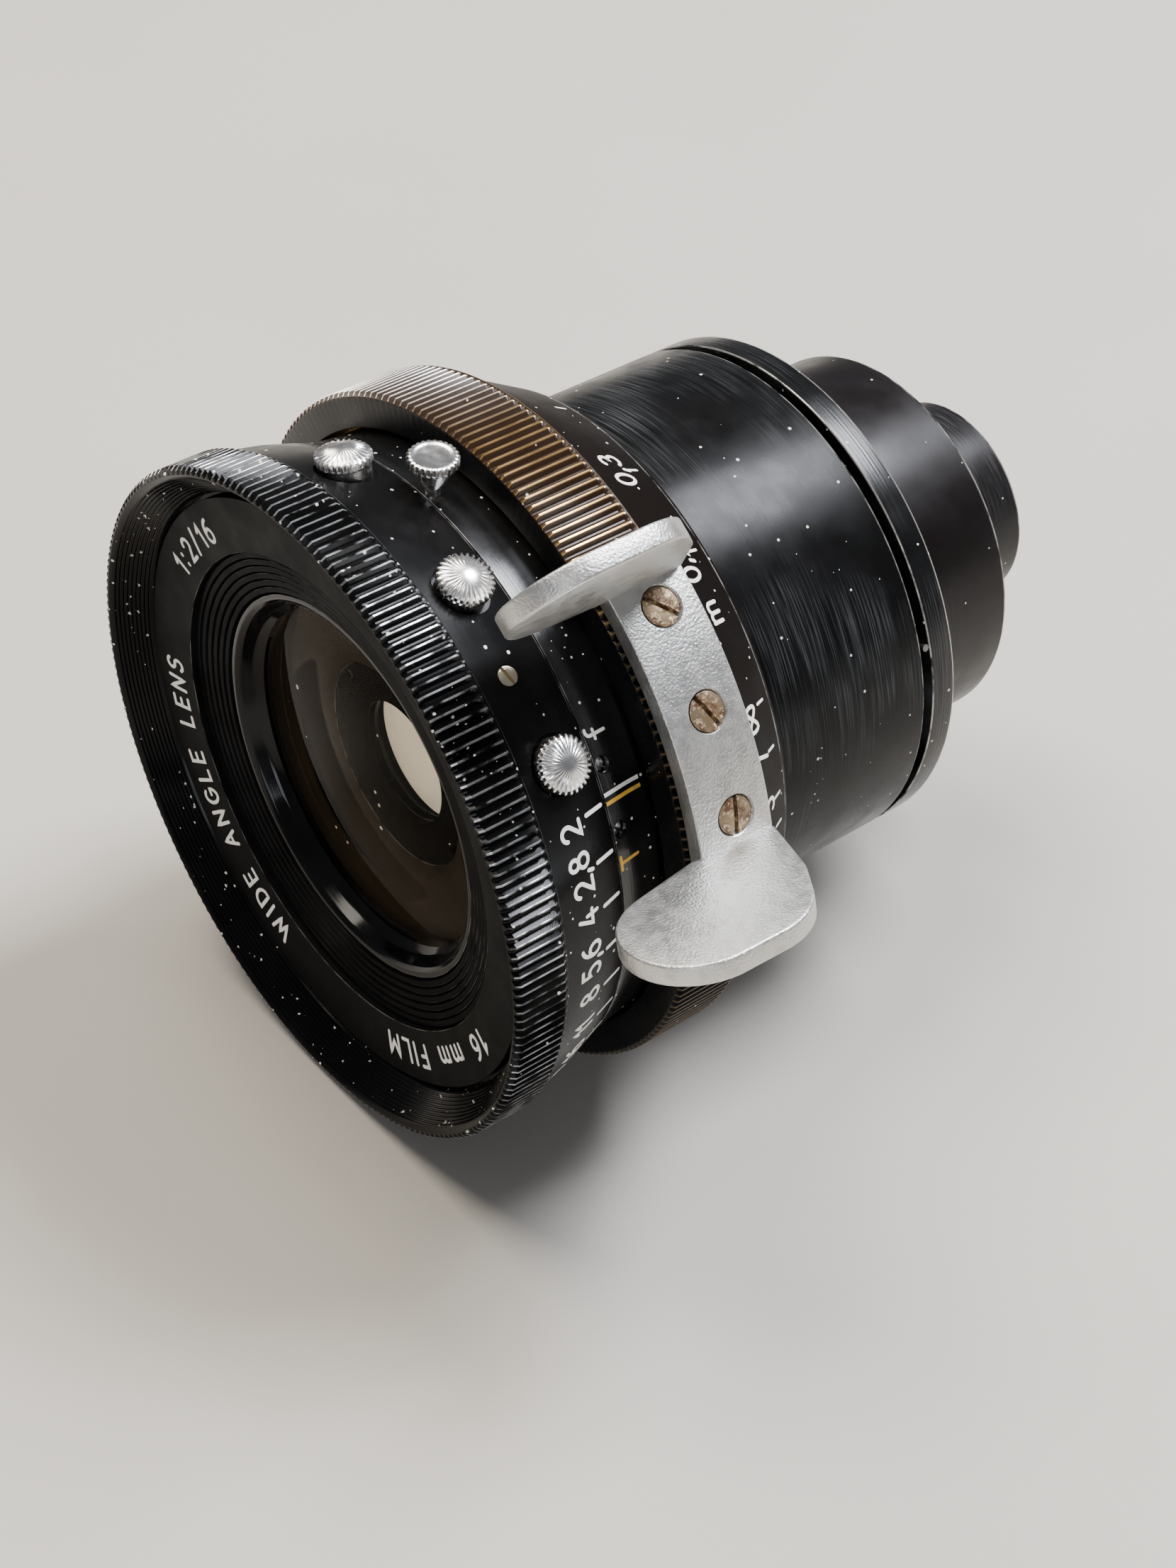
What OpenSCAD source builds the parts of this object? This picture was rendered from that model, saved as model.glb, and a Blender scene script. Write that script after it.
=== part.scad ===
// Cine camera lens, 16 mm f/2, lying with its optical axis level.
// The optical axis is the Y axis: the front faces -Y and the camera mount faces +Y.
// The origin is on the axis, in the plane of the mount's rear seat.
// Stations along the axis are distances behind the front rim. Radii are from the axis.
// Angles go round the axis from +X up towards +Z.

/* [Overall stations] */
// Rear face of the mount flange, the origin's station
seat_s = 45.8; // [44:0.1:50]
// Radius of the barrel and flange that the camera clamps
mount_r = 20.5; // [20:0.1:21]
// Rear end of the large rear tube
rear_tube_end = 56.5; // [54:0.1:58]
// Rear end of the small rear cell
rear_cell_end = 65.1; // [63:0.1:68]

/* [Aperture ring] */
// Outer radius of the knurled front ring
front_r = 26.46; // [26:0.02:27]
// Depth of the knurled front ring
front_d = 4.48; // [4:0.02:5]
// Turn of the aperture ring from f/2 to f/22
aperture_turn = 57; // [40:1:60]
// Station of the three thumb studs
stud_s = 7.55; // [7.3:0.05:8]
// Radius of a thumb stud's shank
stud_r = 1.85; // [1.6:0.05:1.9]
// Angles of the three thumb studs
stud_angles = [34.4, 64.5, 95.4];

/* [Focus ring] */
// Outer radius of the focusing grip
focus_r = 26.82; // [26.5:0.02:27]
// Front face of the focusing grip
focus_s = 14.6; // [14.5:0.02:14.7]
// Rear end of the focusing grip
grip_end = 20.8; // [20.4:0.1:21]
// Rear end of the distance scale
scale_end = 26.79; // [26.6:0.01:26.8]
// Outer radius of the distance scale at its rear end
scale_end_r = 22.99; // [22.8:0.01:23.2]

/* [Finger strap] */
// Angle of the lower ear
ear_low = 13.4; // [10:0.1:16]
// Angle of the upper ear
ear_high = 52.2; // [48:0.1:56]
// Thickness of the ears
ear_t = 1.6; // [1.2:0.1:1.8]
// Angles of the three strap screws
strap_screw_angles = [17.2, 32.8, 48.4];

/* [Iris] */
// Number of iris blades, one node each
blade_count = 8; // [8:1:8]
// Radius of the fully open aperture
open_r = 4.95; // [4.6:0.05:5]
// Radius from the axis to a blade's pivot
pivot_r = 9.6; // [9.4:0.1:9.8]
// Turn of each blade from open to closed, degrees
blade_turn = 27.7; // [20:0.1:28]
// Thickness of a blade
blade_t = 0.08; // [0.05:0.01:0.09]

/* [Hidden] */
round_fn = 96;
ball_fn = 300;

// Stations
scale_ring_end = 10.7;
sleeve_front = 10.8;
sleeve_end = 17;
flange_end = 16.3;
helicoid_end = 22.1;
journal_front = 17.6;
journal_end = 26.88;
groove_front = 43.0;
groove_end = 43.6;
tube_step = 41.5;

// Radii of the running surfaces
cell_r = 22.5;
tube_r = 18.2;
rear_tube_r = 15.3;
rear_cell_r = 8.4;
journal_r = 20.2;
run_gap = 0.06;
groove_r = 18.7;
helicoid_r = 22.35;
cam_r = 13.36;
rear_bore_r = 15.6;

// Iris layout
cam_front = 9.6;
cam_t = 0.5;
blade_s0 = 10.18;
blade_pitch = 0.12;
blade_in_r = 5.05;
blade_out_r = 8.3;
blade_tail = 118;
drive_angle = 24;
drive_pin_r = 0.3;
pivot_pin_r = 0.35;
plate_front = 11.22;
plate_back = 11.9;
drive_pin_s = 9.85;
set_screw_s = 7.0;
set_screw_angle = 49.4;
grub_s = 11.5;
grub_angles = [30.5, 19.0];
knob_s = 11.6;
knob_angle = 85;
drive_pin_angle = 215;

// Finger strap
strap_in_r = 26.86;
strap_out_r = 28.3;
strap_front = 14.8;
strap_back = 21.1;
strap_screw_s = 18.2;

// Focus stop and guide
stop_s = 23.4;
stop_angle = 190;
stop_lug_half = 10;
stop_pin_r = 0.7;
stop_clear = 1.5;
guide_s = 30;
guide_angle = 200;
guide_r = 0.95;
locating_angle = 17.6;

// ---- helpers ----

// A body turned about the lens axis from [station, radius] points
module turned(points) {
    rotate([-90, 0, 0])
        rotate_extrude($fn = round_fn)
            polygon([for (p = points) [p[1], p[0] - seat_s]]);
}

// The same, over the angles from a0 up to a1 only
module turned_arc(points, a0, a1) {
    rotate([0, -a1, 0])
        rotate([-90, 0, 0])
            rotate_extrude(angle = a1 - a0, $fn = round_fn)
                polygon([for (p = points) [p[1], p[0] - seat_s]]);
}

// A plain tube or disc between two stations
module tube(s0, s1, r_in, r_out) {
    turned([[s0, r_in], [s0, r_out], [s1, r_out], [s1, r_in]]);
}

// Places a child on a radius of the lens, its +Z outward, its origin on the axis
module radial(angle, s) {
    rotate([0, -angle, 0])
        translate([0, s - seat_s, 0])
            rotate([0, 90, 0])
                children();
}

// A pin or hole between two radii
module radial_pin(angle, s, r, r0, r1) {
    radial(angle, s)
        translate([0, 0, r0])
            cylinder(h = r1 - r0, r = r, $fn = 48);
}

// A screw slot cut across a radial screw's head
module radial_slot(angle, s, top_r, wide, deep, turn) {
    radial(angle, s)
        rotate([0, 0, turn])
            translate([-5, -wide / 2, top_r - deep])
                cube([10, wide, deep + 1]);
}

// A ball whose surface crosses the axis at a station, bulging to the front or the rear
module front_ball(vertex_s, r) {
    translate([0, vertex_s - seat_s + r, 0])
        sphere(r = r, $fn = ball_fn);
}

module rear_ball(vertex_s, r) {
    translate([0, vertex_s - seat_s - r, 0])
        sphere(r = r, $fn = ball_fn);
}

// ---- aperture ring ----

module aperture_grip_ring() {
    color("dimgray")
        turned([[0.05, 26.2], [0.4, front_r], [front_d - 0.3, front_r], [front_d, front_r - 0.3],
            [front_d, 23.62], [2.75, 23.62], [2.5, 23.75], [0.25, 25.5], [0, 25.85]]);
}

module aperture_scale_ring() {
    color("#1c1c1c")
        difference() {
            turned([[3.6, cell_r + run_gap], [3.6, 23.6], [4.52, 23.6], [4.52, 26.05], [7.2, 25.5],
                [9, 24.95], [scale_ring_end, 24.4], [scale_ring_end, cell_r + run_gap]]);
            for (a = stud_angles) {
                radial_pin(a, stud_s, stud_r + 0.3, 24.7, 27);
                radial_pin(a, stud_s, 0.97, 22, 26);
            }
            radial_pin(set_screw_angle, set_screw_s, 0.8, 24.2, 27);
            radial_pin(drive_pin_angle, drive_pin_s, 0.76, 22, 26);
        }
}

// Domed serrated head on a plain shank, with a thinner stem into the ring
module thumb_stud(angle) {
    teeth = 24;
    head_r = stud_r + 0.17;
    seat_r = 24.7;
    head_low = 26.15;
    head_top = 26.7;
    color("silver")
        radial(angle, stud_s)
            union() {
                translate([0, 0, 23.2])
                    cylinder(h = seat_r - 23.19, r = 0.95, $fn = 48);
                translate([0, 0, seat_r])
                    cylinder(h = head_low - seat_r, r = stud_r, $fn = 48);
                difference() {
                    translate([0, 0, head_low])
                        cylinder(h = head_top - head_low, r = head_r, $fn = 48);
                    for (i = [0:teeth - 1])
                        rotate([0, 0, i * 360 / teeth])
                            translate([head_r + 0.12, 0, head_low - 0.1])
                                cylinder(h = head_top, r = 0.22, $fn = 16);
                }
                translate([0, 0, head_top])
                    cylinder(h = 0.55, r1 = head_r - 0.1, r2 = 0.25, $fn = 48);
            }
}

module scale_set_screw() {
    color("goldenrod")
        difference() {
            radial_pin(set_screw_angle, set_screw_s, 0.76, 24.25, 25.5);
            radial_slot(set_screw_angle, set_screw_s, 25.5, 0.28, 0.4, 60);
        }
}

// Links the aperture ring to the cam ring through the slot in the front cell
module iris_drive_pin() {
    color("gray")
        radial_pin(drive_pin_angle, drive_pin_s, 0.74, cam_r - 0.6, 24);
}

// ---- iris ----

// A point turned about the axis, as [x, y] in a plane across the axis
function polar(r, a) = [r * cos(a), r * sin(a)];

// Where a blade's drive pin is when the blade has turned by t
function pin_at(t) = polar(pivot_r, 0) + rot2(polar(pivot_r, -drive_angle) - polar(pivot_r, 0), -t);
function rot2(p, a) = [p[0] * cos(a) - p[1] * sin(a), p[0] * sin(a) + p[1] * cos(a)];

// The pin's path seen from the cam ring, which turns by aperture_turn meanwhile
function slot_at(u) = rot2(pin_at(u * blade_turn), -u * aperture_turn);
function slot_dir(u) = let (d = slot_at(u + 0.01) - slot_at(u - 0.01)) d / norm(d);
function slot_side(u, w) = slot_at(u) + w * [-slot_dir(u)[1], slot_dir(u)[0]];

slot_w = drive_pin_r + 0.06;
slot_steps = 10;
slot_cap_steps = 6;

// The round end of the slot at u, as points that start at the given side of the path
function slot_cap(u, start) = [for (i = [1:slot_cap_steps - 1])
    let (a = atan2(slot_dir(u)[1], slot_dir(u)[0]) + start - 180 * i / slot_cap_steps)
        slot_at(u) + polar(slot_w, a)];

slot_shape = concat(
    [for (i = [0:slot_steps]) slot_side(i / slot_steps, slot_w)],
    slot_cap(1, 90),
    [for (i = [slot_steps:-1:0]) slot_side(i / slot_steps, -slot_w)],
    slot_cap(0, -90));

// Stands a flat shape across the axis: its X stays X and its Y becomes Z
module across(s, thick) {
    translate([0, s + thick - seat_s, 0])
        rotate([90, 0, 0])
            linear_extrude(height = thick)
                children();
}

module iris_cam_ring() {
    color("darkgray")
        difference() {
            union() {
                tube(cam_front, cam_front + cam_t, open_r, cam_r - 0.5);
                tube(8.95, 10.75, 12.2, cam_r);
            }
            for (k = [0:blade_count - 1])
                across(cam_front - 0.5, cam_t + 1)
                    rotate(k * 360 / blade_count)
                        polygon(slot_shape);
            radial_pin(drive_pin_angle, drive_pin_s, 0.75, 11.5, 14);
        }
}

// Blade k: a thin crescent with a pivot pin to the rear and a drive pin to the front
module iris_blade(k) {
    s0 = blade_s0 + k * blade_pitch;
    color("#202020")
        rotate([0, -k * 360 / blade_count, 0])
            union() {
                across(s0, blade_t)
                    blade_outline();
                across(s0 + blade_t - 0.01, plate_back - 0.1 - s0 - blade_t)
                    translate([pivot_r, 0])
                        circle(r = pivot_pin_r, $fn = 32);
                across(cam_front + 0.06, s0 - cam_front - 0.05)
                    translate(polar(pivot_r, -drive_angle))
                        circle(r = drive_pin_r, $fn = 32);
            }
}

module blade_outline() {
    difference() {
        circle(r = blade_out_r, $fn = round_fn);
        circle(r = blade_in_r, $fn = round_fn);
        polygon([[0, 0], polar(20, 8), polar(20, 60), polar(20, 120), polar(20, 180),
            polar(20, 360 - blade_tail)]);
    }
    for (a = [0, -drive_angle])
        rotate(a) {
            translate([blade_out_r - 0.6, -0.6])
                square([pivot_r - blade_out_r + 0.6, 1.2]);
            translate([pivot_r, 0])
                circle(r = 0.6, $fn = 32);
        }
}

module iris_pivot_plate() {
    color("gray")
        difference() {
            tube(plate_front, plate_back, 5.6, 12);
            for (k = [0:blade_count - 1])
                across(plate_front - 0.5, 2)
                    translate(polar(pivot_r, k * 360 / blade_count))
                        circle(r = pivot_pin_r + 0.05, $fn = 32);
        }
}

// ---- focus ring ----

module focus_grip_ring() {
    color("#4a4038")
        difference() {
            turned([[focus_s, 24.1], [focus_s, focus_r - 0.25], [focus_s + 0.25, focus_r],
                [grip_end - 0.02, focus_r], [grip_end - 0.02, 24.5], [17.2, 24.5], [17.2, 24.1]]);
            for (a = strap_screw_angles)
                radial_pin(a, strap_screw_s, 0.86, 25, 28);
        }
}

module distance_scale_ring() {
    color("#262626")
        difference() {
            turned([[grip_end, 24.45], [grip_end, 26.25], [26.5, 23.16], [scale_end, scale_end_r],
                [scale_end, journal_r + run_gap], [25.1, journal_r + run_gap], [25.1, 22.3],
                [22.42, 22.3], [22.42, 24.45]]);
            radial_pin(stop_angle + stop_lug_half + 2 + stop_clear, stop_s, stop_pin_r + 0.01, 21, 24);
        }
}

module focus_helicoid_ring() {
    color("peru")
        tube(17.3, 22.4, helicoid_r + run_gap, 24.42);
}

module focus_stop_screw() {
    color("gray")
        radial_pin(stop_angle + stop_lug_half + 2 + stop_clear, stop_s, stop_pin_r, 20.9, 23.95);
}

// Outline of an ear: station along, height above the strap across
module ear_outline() {
    hull() {
        translate([9.6, 5.85])
            circle(r = 5.25, $fn = 48);
        translate([13.0, 6.1])
            circle(r = 5.1, $fn = 48);
        translate([17.4, 0.6])
            square([3.5, 0.2]);
        translate([15.5, 4.4])
            circle(r = 3.9, $fn = 48);
    }
    translate([strap_front + 0.3, -1])
        square([strap_back - strap_front - 0.5, 2.6]);
}

// A radial plate at an angle; side is -1 or 1 for the way its thickness goes
module ear(angle, side) {
    rotate([0, -angle, 0])
        translate([28.0, -seat_s, side > 0 ? 0 : -ear_t])
            linear_extrude(height = ear_t)
                rotate([0, 0, 90])
                    mirror([0, 1, 0])
                        ear_outline();
}

module finger_strap() {
    color("#c8c9cb")
        difference() {
            union() {
                turned_arc([[strap_front, strap_in_r], [strap_front, strap_out_r],
                    [strap_back, strap_out_r], [strap_back, strap_in_r]], ear_low - 2.6, ear_high + 2.6);
                ear(ear_low, -1);
                ear(ear_high, 1);
            }
            for (a = strap_screw_angles) {
                radial_pin(a, strap_screw_s, 0.9, 25, 29);
                radial(a, strap_screw_s)
                    translate([0, 0, 27.3])
                        cylinder(h = 1.2, r1 = 0.92, r2 = 1.72, $fn = 48);
            }
        }
}

module strap_screw(angle) {
    color("sienna")
        difference() {
            union() {
                radial_pin(angle, strap_screw_s, 0.84, 25.1, 27.6);
                radial(angle, strap_screw_s)
                    translate([0, 0, 27.4])
                        cylinder(h = 0.8, r1 = 0.84, r2 = 1.42, $fn = 48);
            }
            radial_slot(angle, strap_screw_s, 28.2, 0.35, 0.4, 115);
        }
}

// ---- optical block ----

module name_ring() {
    color("#161616")
        turned([[2.5, 23.3], [3.0, 18.95], [3.55, 18.95], [3.55, 23.3]]);
}

module stepped_baffle() {
    steps = 6;
    inner = 15.35;
    outer = 18.85;
    rise = 0.14;
    color("#111111")
        turned(concat(
            [for (i = [0:steps - 1], j = [0, 1])
                [3.45 + rise * i, outer - (outer - inner) * (i + j) / steps]],
            [[4.9, inner], [4.9, 18.2], [3.7, 18.2], [3.7, outer]]));
}

module front_retaining_ring() {
    color("#1a1a1a")
        turned([[4.33, 15.25], [4.33, 14.9], [4.6, 14.5], [5.6, 14.1], [6.1, 13.55], [6.18, 13.55],
            [6.18, 15.25]]);
}

module front_element() {
    color([0.35, 0.28, 0.2, 0.5])
        difference() {
            intersection() {
                tube(4, 7.6, 0, 13.9);
                front_ball(4.7, 60);
            }
            front_ball(6.3, 40);
            turned([[7.35, 11], [7.35, 14], [8, 14], [8, 11]]);
        }
}

module conical_baffle() {
    color("#111111")
        turned([[7.62, 13.9], [7.62, 13.2], [8.3, 6.2], [8.58, 6.2], [8.58, 13.9]]);
}

module front_cell() {
    color("#303030")
        difference() {
            turned([[3.75, cell_r], [3.75, 18.95], [3.9, 18.25], [4.95, 18.25], [4.95, 15.3], [6.2, 15.3],
                [6.2, 13.96], [8.6, 13.96], [8.6, 8.6], [8.9, 8.6], [8.9, cam_r + run_gap],
                [sleeve_front, cam_r + run_gap], [sleeve_front, cell_r]]);
            turned_arc([[8.98, 12], [8.98, 23], [11.4, 23], [11.4, 12]],
                drive_pin_angle - 5, drive_pin_angle + aperture_turn + 5);
        }
}

module index_sleeve() {
    color("#1e1e1e")
        difference() {
            turned([[sleeve_front, cell_r], [sleeve_front, 24.34], [13, 23.92], [14.8, 23.78],
                [sleeve_end, 23.78], [sleeve_end, cell_r]]);
            for (a = grub_angles)
                radial_pin(a, grub_s, 0.62, 22, 26);
            radial_pin(knob_angle, knob_s, 0.57, 22, 26);
        }
}

module index_grub_screw(angle) {
    color("gray")
        difference() {
            radial_pin(angle, grub_s, 0.6, cell_r, 23.55);
            radial_slot(angle, grub_s, 23.55, 0.22, 0.35, 40);
        }
}

module sleeve_knob() {
    color("silver")
        radial(knob_angle, knob_s)
            union() {
                translate([0, 0, cell_r])
                    cylinder(h = 2.4, r = 0.55, $fn = 48);
                translate([0, 0, 24.9])
                    cylinder(h = 1.8, r1 = 0.6, r2 = 1.7, $fn = 48);
                translate([0, 0, 26.7])
                    cylinder(h = 0.7, r = 1.85, $fn = 48);
                translate([0, 0, 27.4])
                    cylinder(h = 0.2, r1 = 1.7, r2 = 1.3, $fn = 48);
            }
}

module moving_helicoid() {
    color("peru")
        tube(flange_end, helicoid_end, 20.65, helicoid_r);
}

module inner_barrel() {
    color("#2a2a2a")
        difference() {
            turned([[sleeve_front, 12.05], [sleeve_front, cell_r - 0.02], [flange_end, cell_r - 0.02],
                [flange_end, tube_r], [tube_step, tube_r], [tube_step, rear_tube_r],
                [rear_tube_end, rear_tube_r], [rear_tube_end, rear_cell_r + 0.02], [40, rear_cell_r + 0.02],
                [40, 11], [12, 11], [12, 12.05]]);
            guide_slot();
        }
}

// Slot along the axis that the guide key runs in
module guide_slot() {
    travel = 1.4;
    radial_pin(guide_angle, guide_s, guide_r + 0.08, 16.6, 19);
    radial_pin(guide_angle, guide_s + travel, guide_r + 0.08, 16.6, 19);
    rotate([0, -guide_angle, 0])
        translate([16.6, guide_s - seat_s, -guide_r - 0.08])
            cube([2.4, travel, 2 * (guide_r + 0.08)]);
}

module middle_element() {
    color([0.8, 0.8, 0.75, 0.5])
        intersection() {
            tube(12, 15, 0, 10.95);
            front_ball(12.1, 60);
        }
}

module lens_spacer() {
    color("#222222")
        tube(15, 19, 9.8, 10.95);
}

module rear_doublet() {
    color([0.8, 0.8, 0.75, 0.5])
        intersection() {
            tube(19, 25, 0, 10.95);
            rear_ball(24.8, 30);
        }
}

module rear_cell() {
    color("#2a2a2a")
        turned([[50, 7.2], [50, rear_cell_r], [rear_cell_end - 0.3, rear_cell_r],
            [rear_cell_end, rear_cell_r - 0.3], [rear_cell_end, 7.6], [58.5, 7.6], [58.5, 7.2]]);
}

module rear_element() {
    color([0.8, 0.8, 0.75, 0.5])
        intersection() {
            tube(58.5, 63.9, 0, 7.58);
            rear_ball(63.6, 22);
        }
}

module rear_retaining_ring() {
    color("#1a1a1a")
        turned([[63.2, 7.56], [63.2, 6.9], [64.6, 6.6], [64.8, 6.7], [64.8, 7.56]]);
}

// ---- mount ----

module mount_barrel() {
    color("#101010")
        difference() {
            turned([[journal_front, tube_r + run_gap], [journal_front, journal_r],
                [journal_end, journal_r], [journal_end, mount_r - 0.15], [journal_end + 0.15, mount_r],
                [groove_front - 0.4, mount_r], [groove_front, mount_r - 0.5], [groove_front, groove_r],
                [45.0, groove_r], [45.0, rear_bore_r], [42, rear_bore_r], [42, tube_r + run_gap]]);
            radial_pin(guide_angle, guide_s, guide_r + 0.01, 17, 20.6);
            radial_pin(guide_angle, guide_s, 1.5, 19.6, 22);
        }
}

module mount_flange_ring() {
    color("#3a3a3a")
        turned([[groove_end, groove_r + 0.02], [groove_end, mount_r - 0.1], [groove_end + 0.1, mount_r],
            [seat_s - 0.3, mount_r], [seat_s, mount_r - 0.3], [seat_s, rear_bore_r], [45.02, rear_bore_r],
            [45.02, groove_r + 0.02]]);
}

// Holds the focus ring on its journal, with a lug that stops it short of a full turn
module focus_retaining_ring() {
    color("gray") {
        tube(24.2, 25.0, journal_r, 21.9);
        turned_arc([[23, journal_r + 0.1], [23, 21.8], [24.5, 21.8], [24.5, journal_r + 0.1]],
            stop_angle - stop_lug_half, stop_angle + stop_lug_half);
    }
}

module locating_pin() {
    color("silver")
        radial_pin(locating_angle, (groove_front + groove_end) / 2, 0.28, groove_r, mount_r - 0.1);
}

module guide_key_screw() {
    color("gray")
        difference() {
            union() {
                radial_pin(guide_angle, guide_s, guide_r, 16.9, 19.7);
                radial_pin(guide_angle, guide_s, 1.45, 19.6, 20.35);
            }
            radial_slot(guide_angle, guide_s, 20.35, 0.4, 0.4, 20);
        }
}

aperture_grip_ring();
aperture_scale_ring();
thumb_stud(stud_angles[0]);  // thumb_stud_1
thumb_stud(stud_angles[1]);  // thumb_stud_2
thumb_stud(stud_angles[2]);  // thumb_stud_3
scale_set_screw();
iris_drive_pin();
iris_cam_ring();
for (k = [0:blade_count - 1])
    iris_blade(k);
focus_grip_ring();
distance_scale_ring();
focus_helicoid_ring();
focus_stop_screw();
finger_strap();
strap_screw(strap_screw_angles[0]);  // strap_screw_1
strap_screw(strap_screw_angles[1]);  // strap_screw_2
strap_screw(strap_screw_angles[2]);  // strap_screw_3
name_ring();
stepped_baffle();
front_retaining_ring();
front_element();
conical_baffle();
front_cell();
iris_pivot_plate();
index_sleeve();
index_grub_screw(grub_angles[0]);  // index_grub_screw_1
index_grub_screw(grub_angles[1]);  // index_grub_screw_2
sleeve_knob();
moving_helicoid();
inner_barrel();
middle_element();
lens_spacer();
rear_doublet();
rear_cell();
rear_element();
rear_retaining_ring();
mount_barrel();
mount_flange_ring();
focus_retaining_ring();
locating_pin();
guide_key_screw();
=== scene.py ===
"""A 16 mm cine camera lens lying on its side: turned, knurled, engraved and worn.

Sizes are in millimetres. A station is a distance behind the front rim along the optical axis,
a radius is from that axis, and an angle goes round it from +X up towards +Z.
"""

from __future__ import annotations

import logging
import math
from dataclasses import dataclass, field
from enum import Enum
from functools import cache
from typing import Callable, Iterable, Sequence

import bmesh
import bpy
from mathutils import Matrix, Vector
from mathutils.geometry import convex_hull_2d


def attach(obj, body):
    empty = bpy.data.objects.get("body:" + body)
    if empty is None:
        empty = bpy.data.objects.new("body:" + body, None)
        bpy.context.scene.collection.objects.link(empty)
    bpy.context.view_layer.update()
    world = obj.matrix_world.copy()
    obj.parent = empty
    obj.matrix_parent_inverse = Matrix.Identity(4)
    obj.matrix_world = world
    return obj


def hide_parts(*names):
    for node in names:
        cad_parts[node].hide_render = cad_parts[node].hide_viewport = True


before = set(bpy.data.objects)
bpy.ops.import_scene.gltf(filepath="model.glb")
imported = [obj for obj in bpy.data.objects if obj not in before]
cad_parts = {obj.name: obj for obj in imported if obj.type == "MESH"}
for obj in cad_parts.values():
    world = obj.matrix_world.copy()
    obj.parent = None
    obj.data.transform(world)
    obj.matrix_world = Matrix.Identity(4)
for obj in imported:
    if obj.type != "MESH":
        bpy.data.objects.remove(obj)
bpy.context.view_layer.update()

MM = 0.001
SEAT = 45.8  # station of the mount's rear seat, which is the frame's origin
KEY_ANGLE, KEY_S = 200.0, 30.0  # where the key that keeps the optical block from turning stands
LOG = logging.getLogger("cine_lens")

Point = tuple[float, float]
Placer = Callable[[float, float, float], Vector]


# ---------------------------------------------------------------- places


def lens_point(s: float, r: float, angle: float) -> Vector:
    """Gives a point of the lens in metres.

    Args:
        s: Station behind the front rim, in mm.
        r: Radius from the optical axis, in mm.
        angle: Angle round the axis, in degrees.

    Returns:
        The point in the frame, in metres.
    """
    a = math.radians(angle)
    return Vector((r * math.cos(a), s - SEAT, r * math.sin(a))) * MM


def radial_frame(angle: float, s: float, r: float = 0.0) -> Matrix:
    """Gives the place of a piece that stands on a radius of the lens.

    Args:
        angle: Angle of the radius, in degrees.
        s: Station of the radius, in mm.
        r: Radius of the piece's own origin, in mm.

    Returns:
        A matrix whose Z points outward, Y to the front and X round the lens.
    """
    a = math.radians(angle)
    columns = ((-math.sin(a), 0, math.cos(a)), (0, -1, 0), (math.cos(a), 0, math.sin(a)))
    turn = Matrix(columns).transposed().to_4x4()
    return Matrix.Translation(lens_point(s, r, angle)) @ turn


def between(x: float, knots: Sequence[Point]) -> float:
    """Reads a value off a line through (x, value) knots, held flat past its ends."""
    if x <= knots[0][0]:
        return knots[0][1]
    for (x0, y0), (x1, y1) in zip(knots, knots[1:]):
        if x <= x1:
            return y0 + (y1 - y0) * (x - x0) / (x1 - x0)
    return knots[-1][1]


# ---------------------------------------------------------------- node materials


Socket = bpy.types.NodeSocket
Colour = tuple[float, float, float, float]


def srgb(code: str) -> Colour:
    """Turns an sRGB hex code such as "#c8c9cb" into linear RGBA."""
    parts = [int(code[i : i + 2], 16) / 255 for i in (1, 3, 5)]
    line = [c / 12.92 if c <= 0.04045 else ((c + 0.055) / 1.055) ** 2.4 for c in parts]
    return (line[0], line[1], line[2], 1.0)


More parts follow.
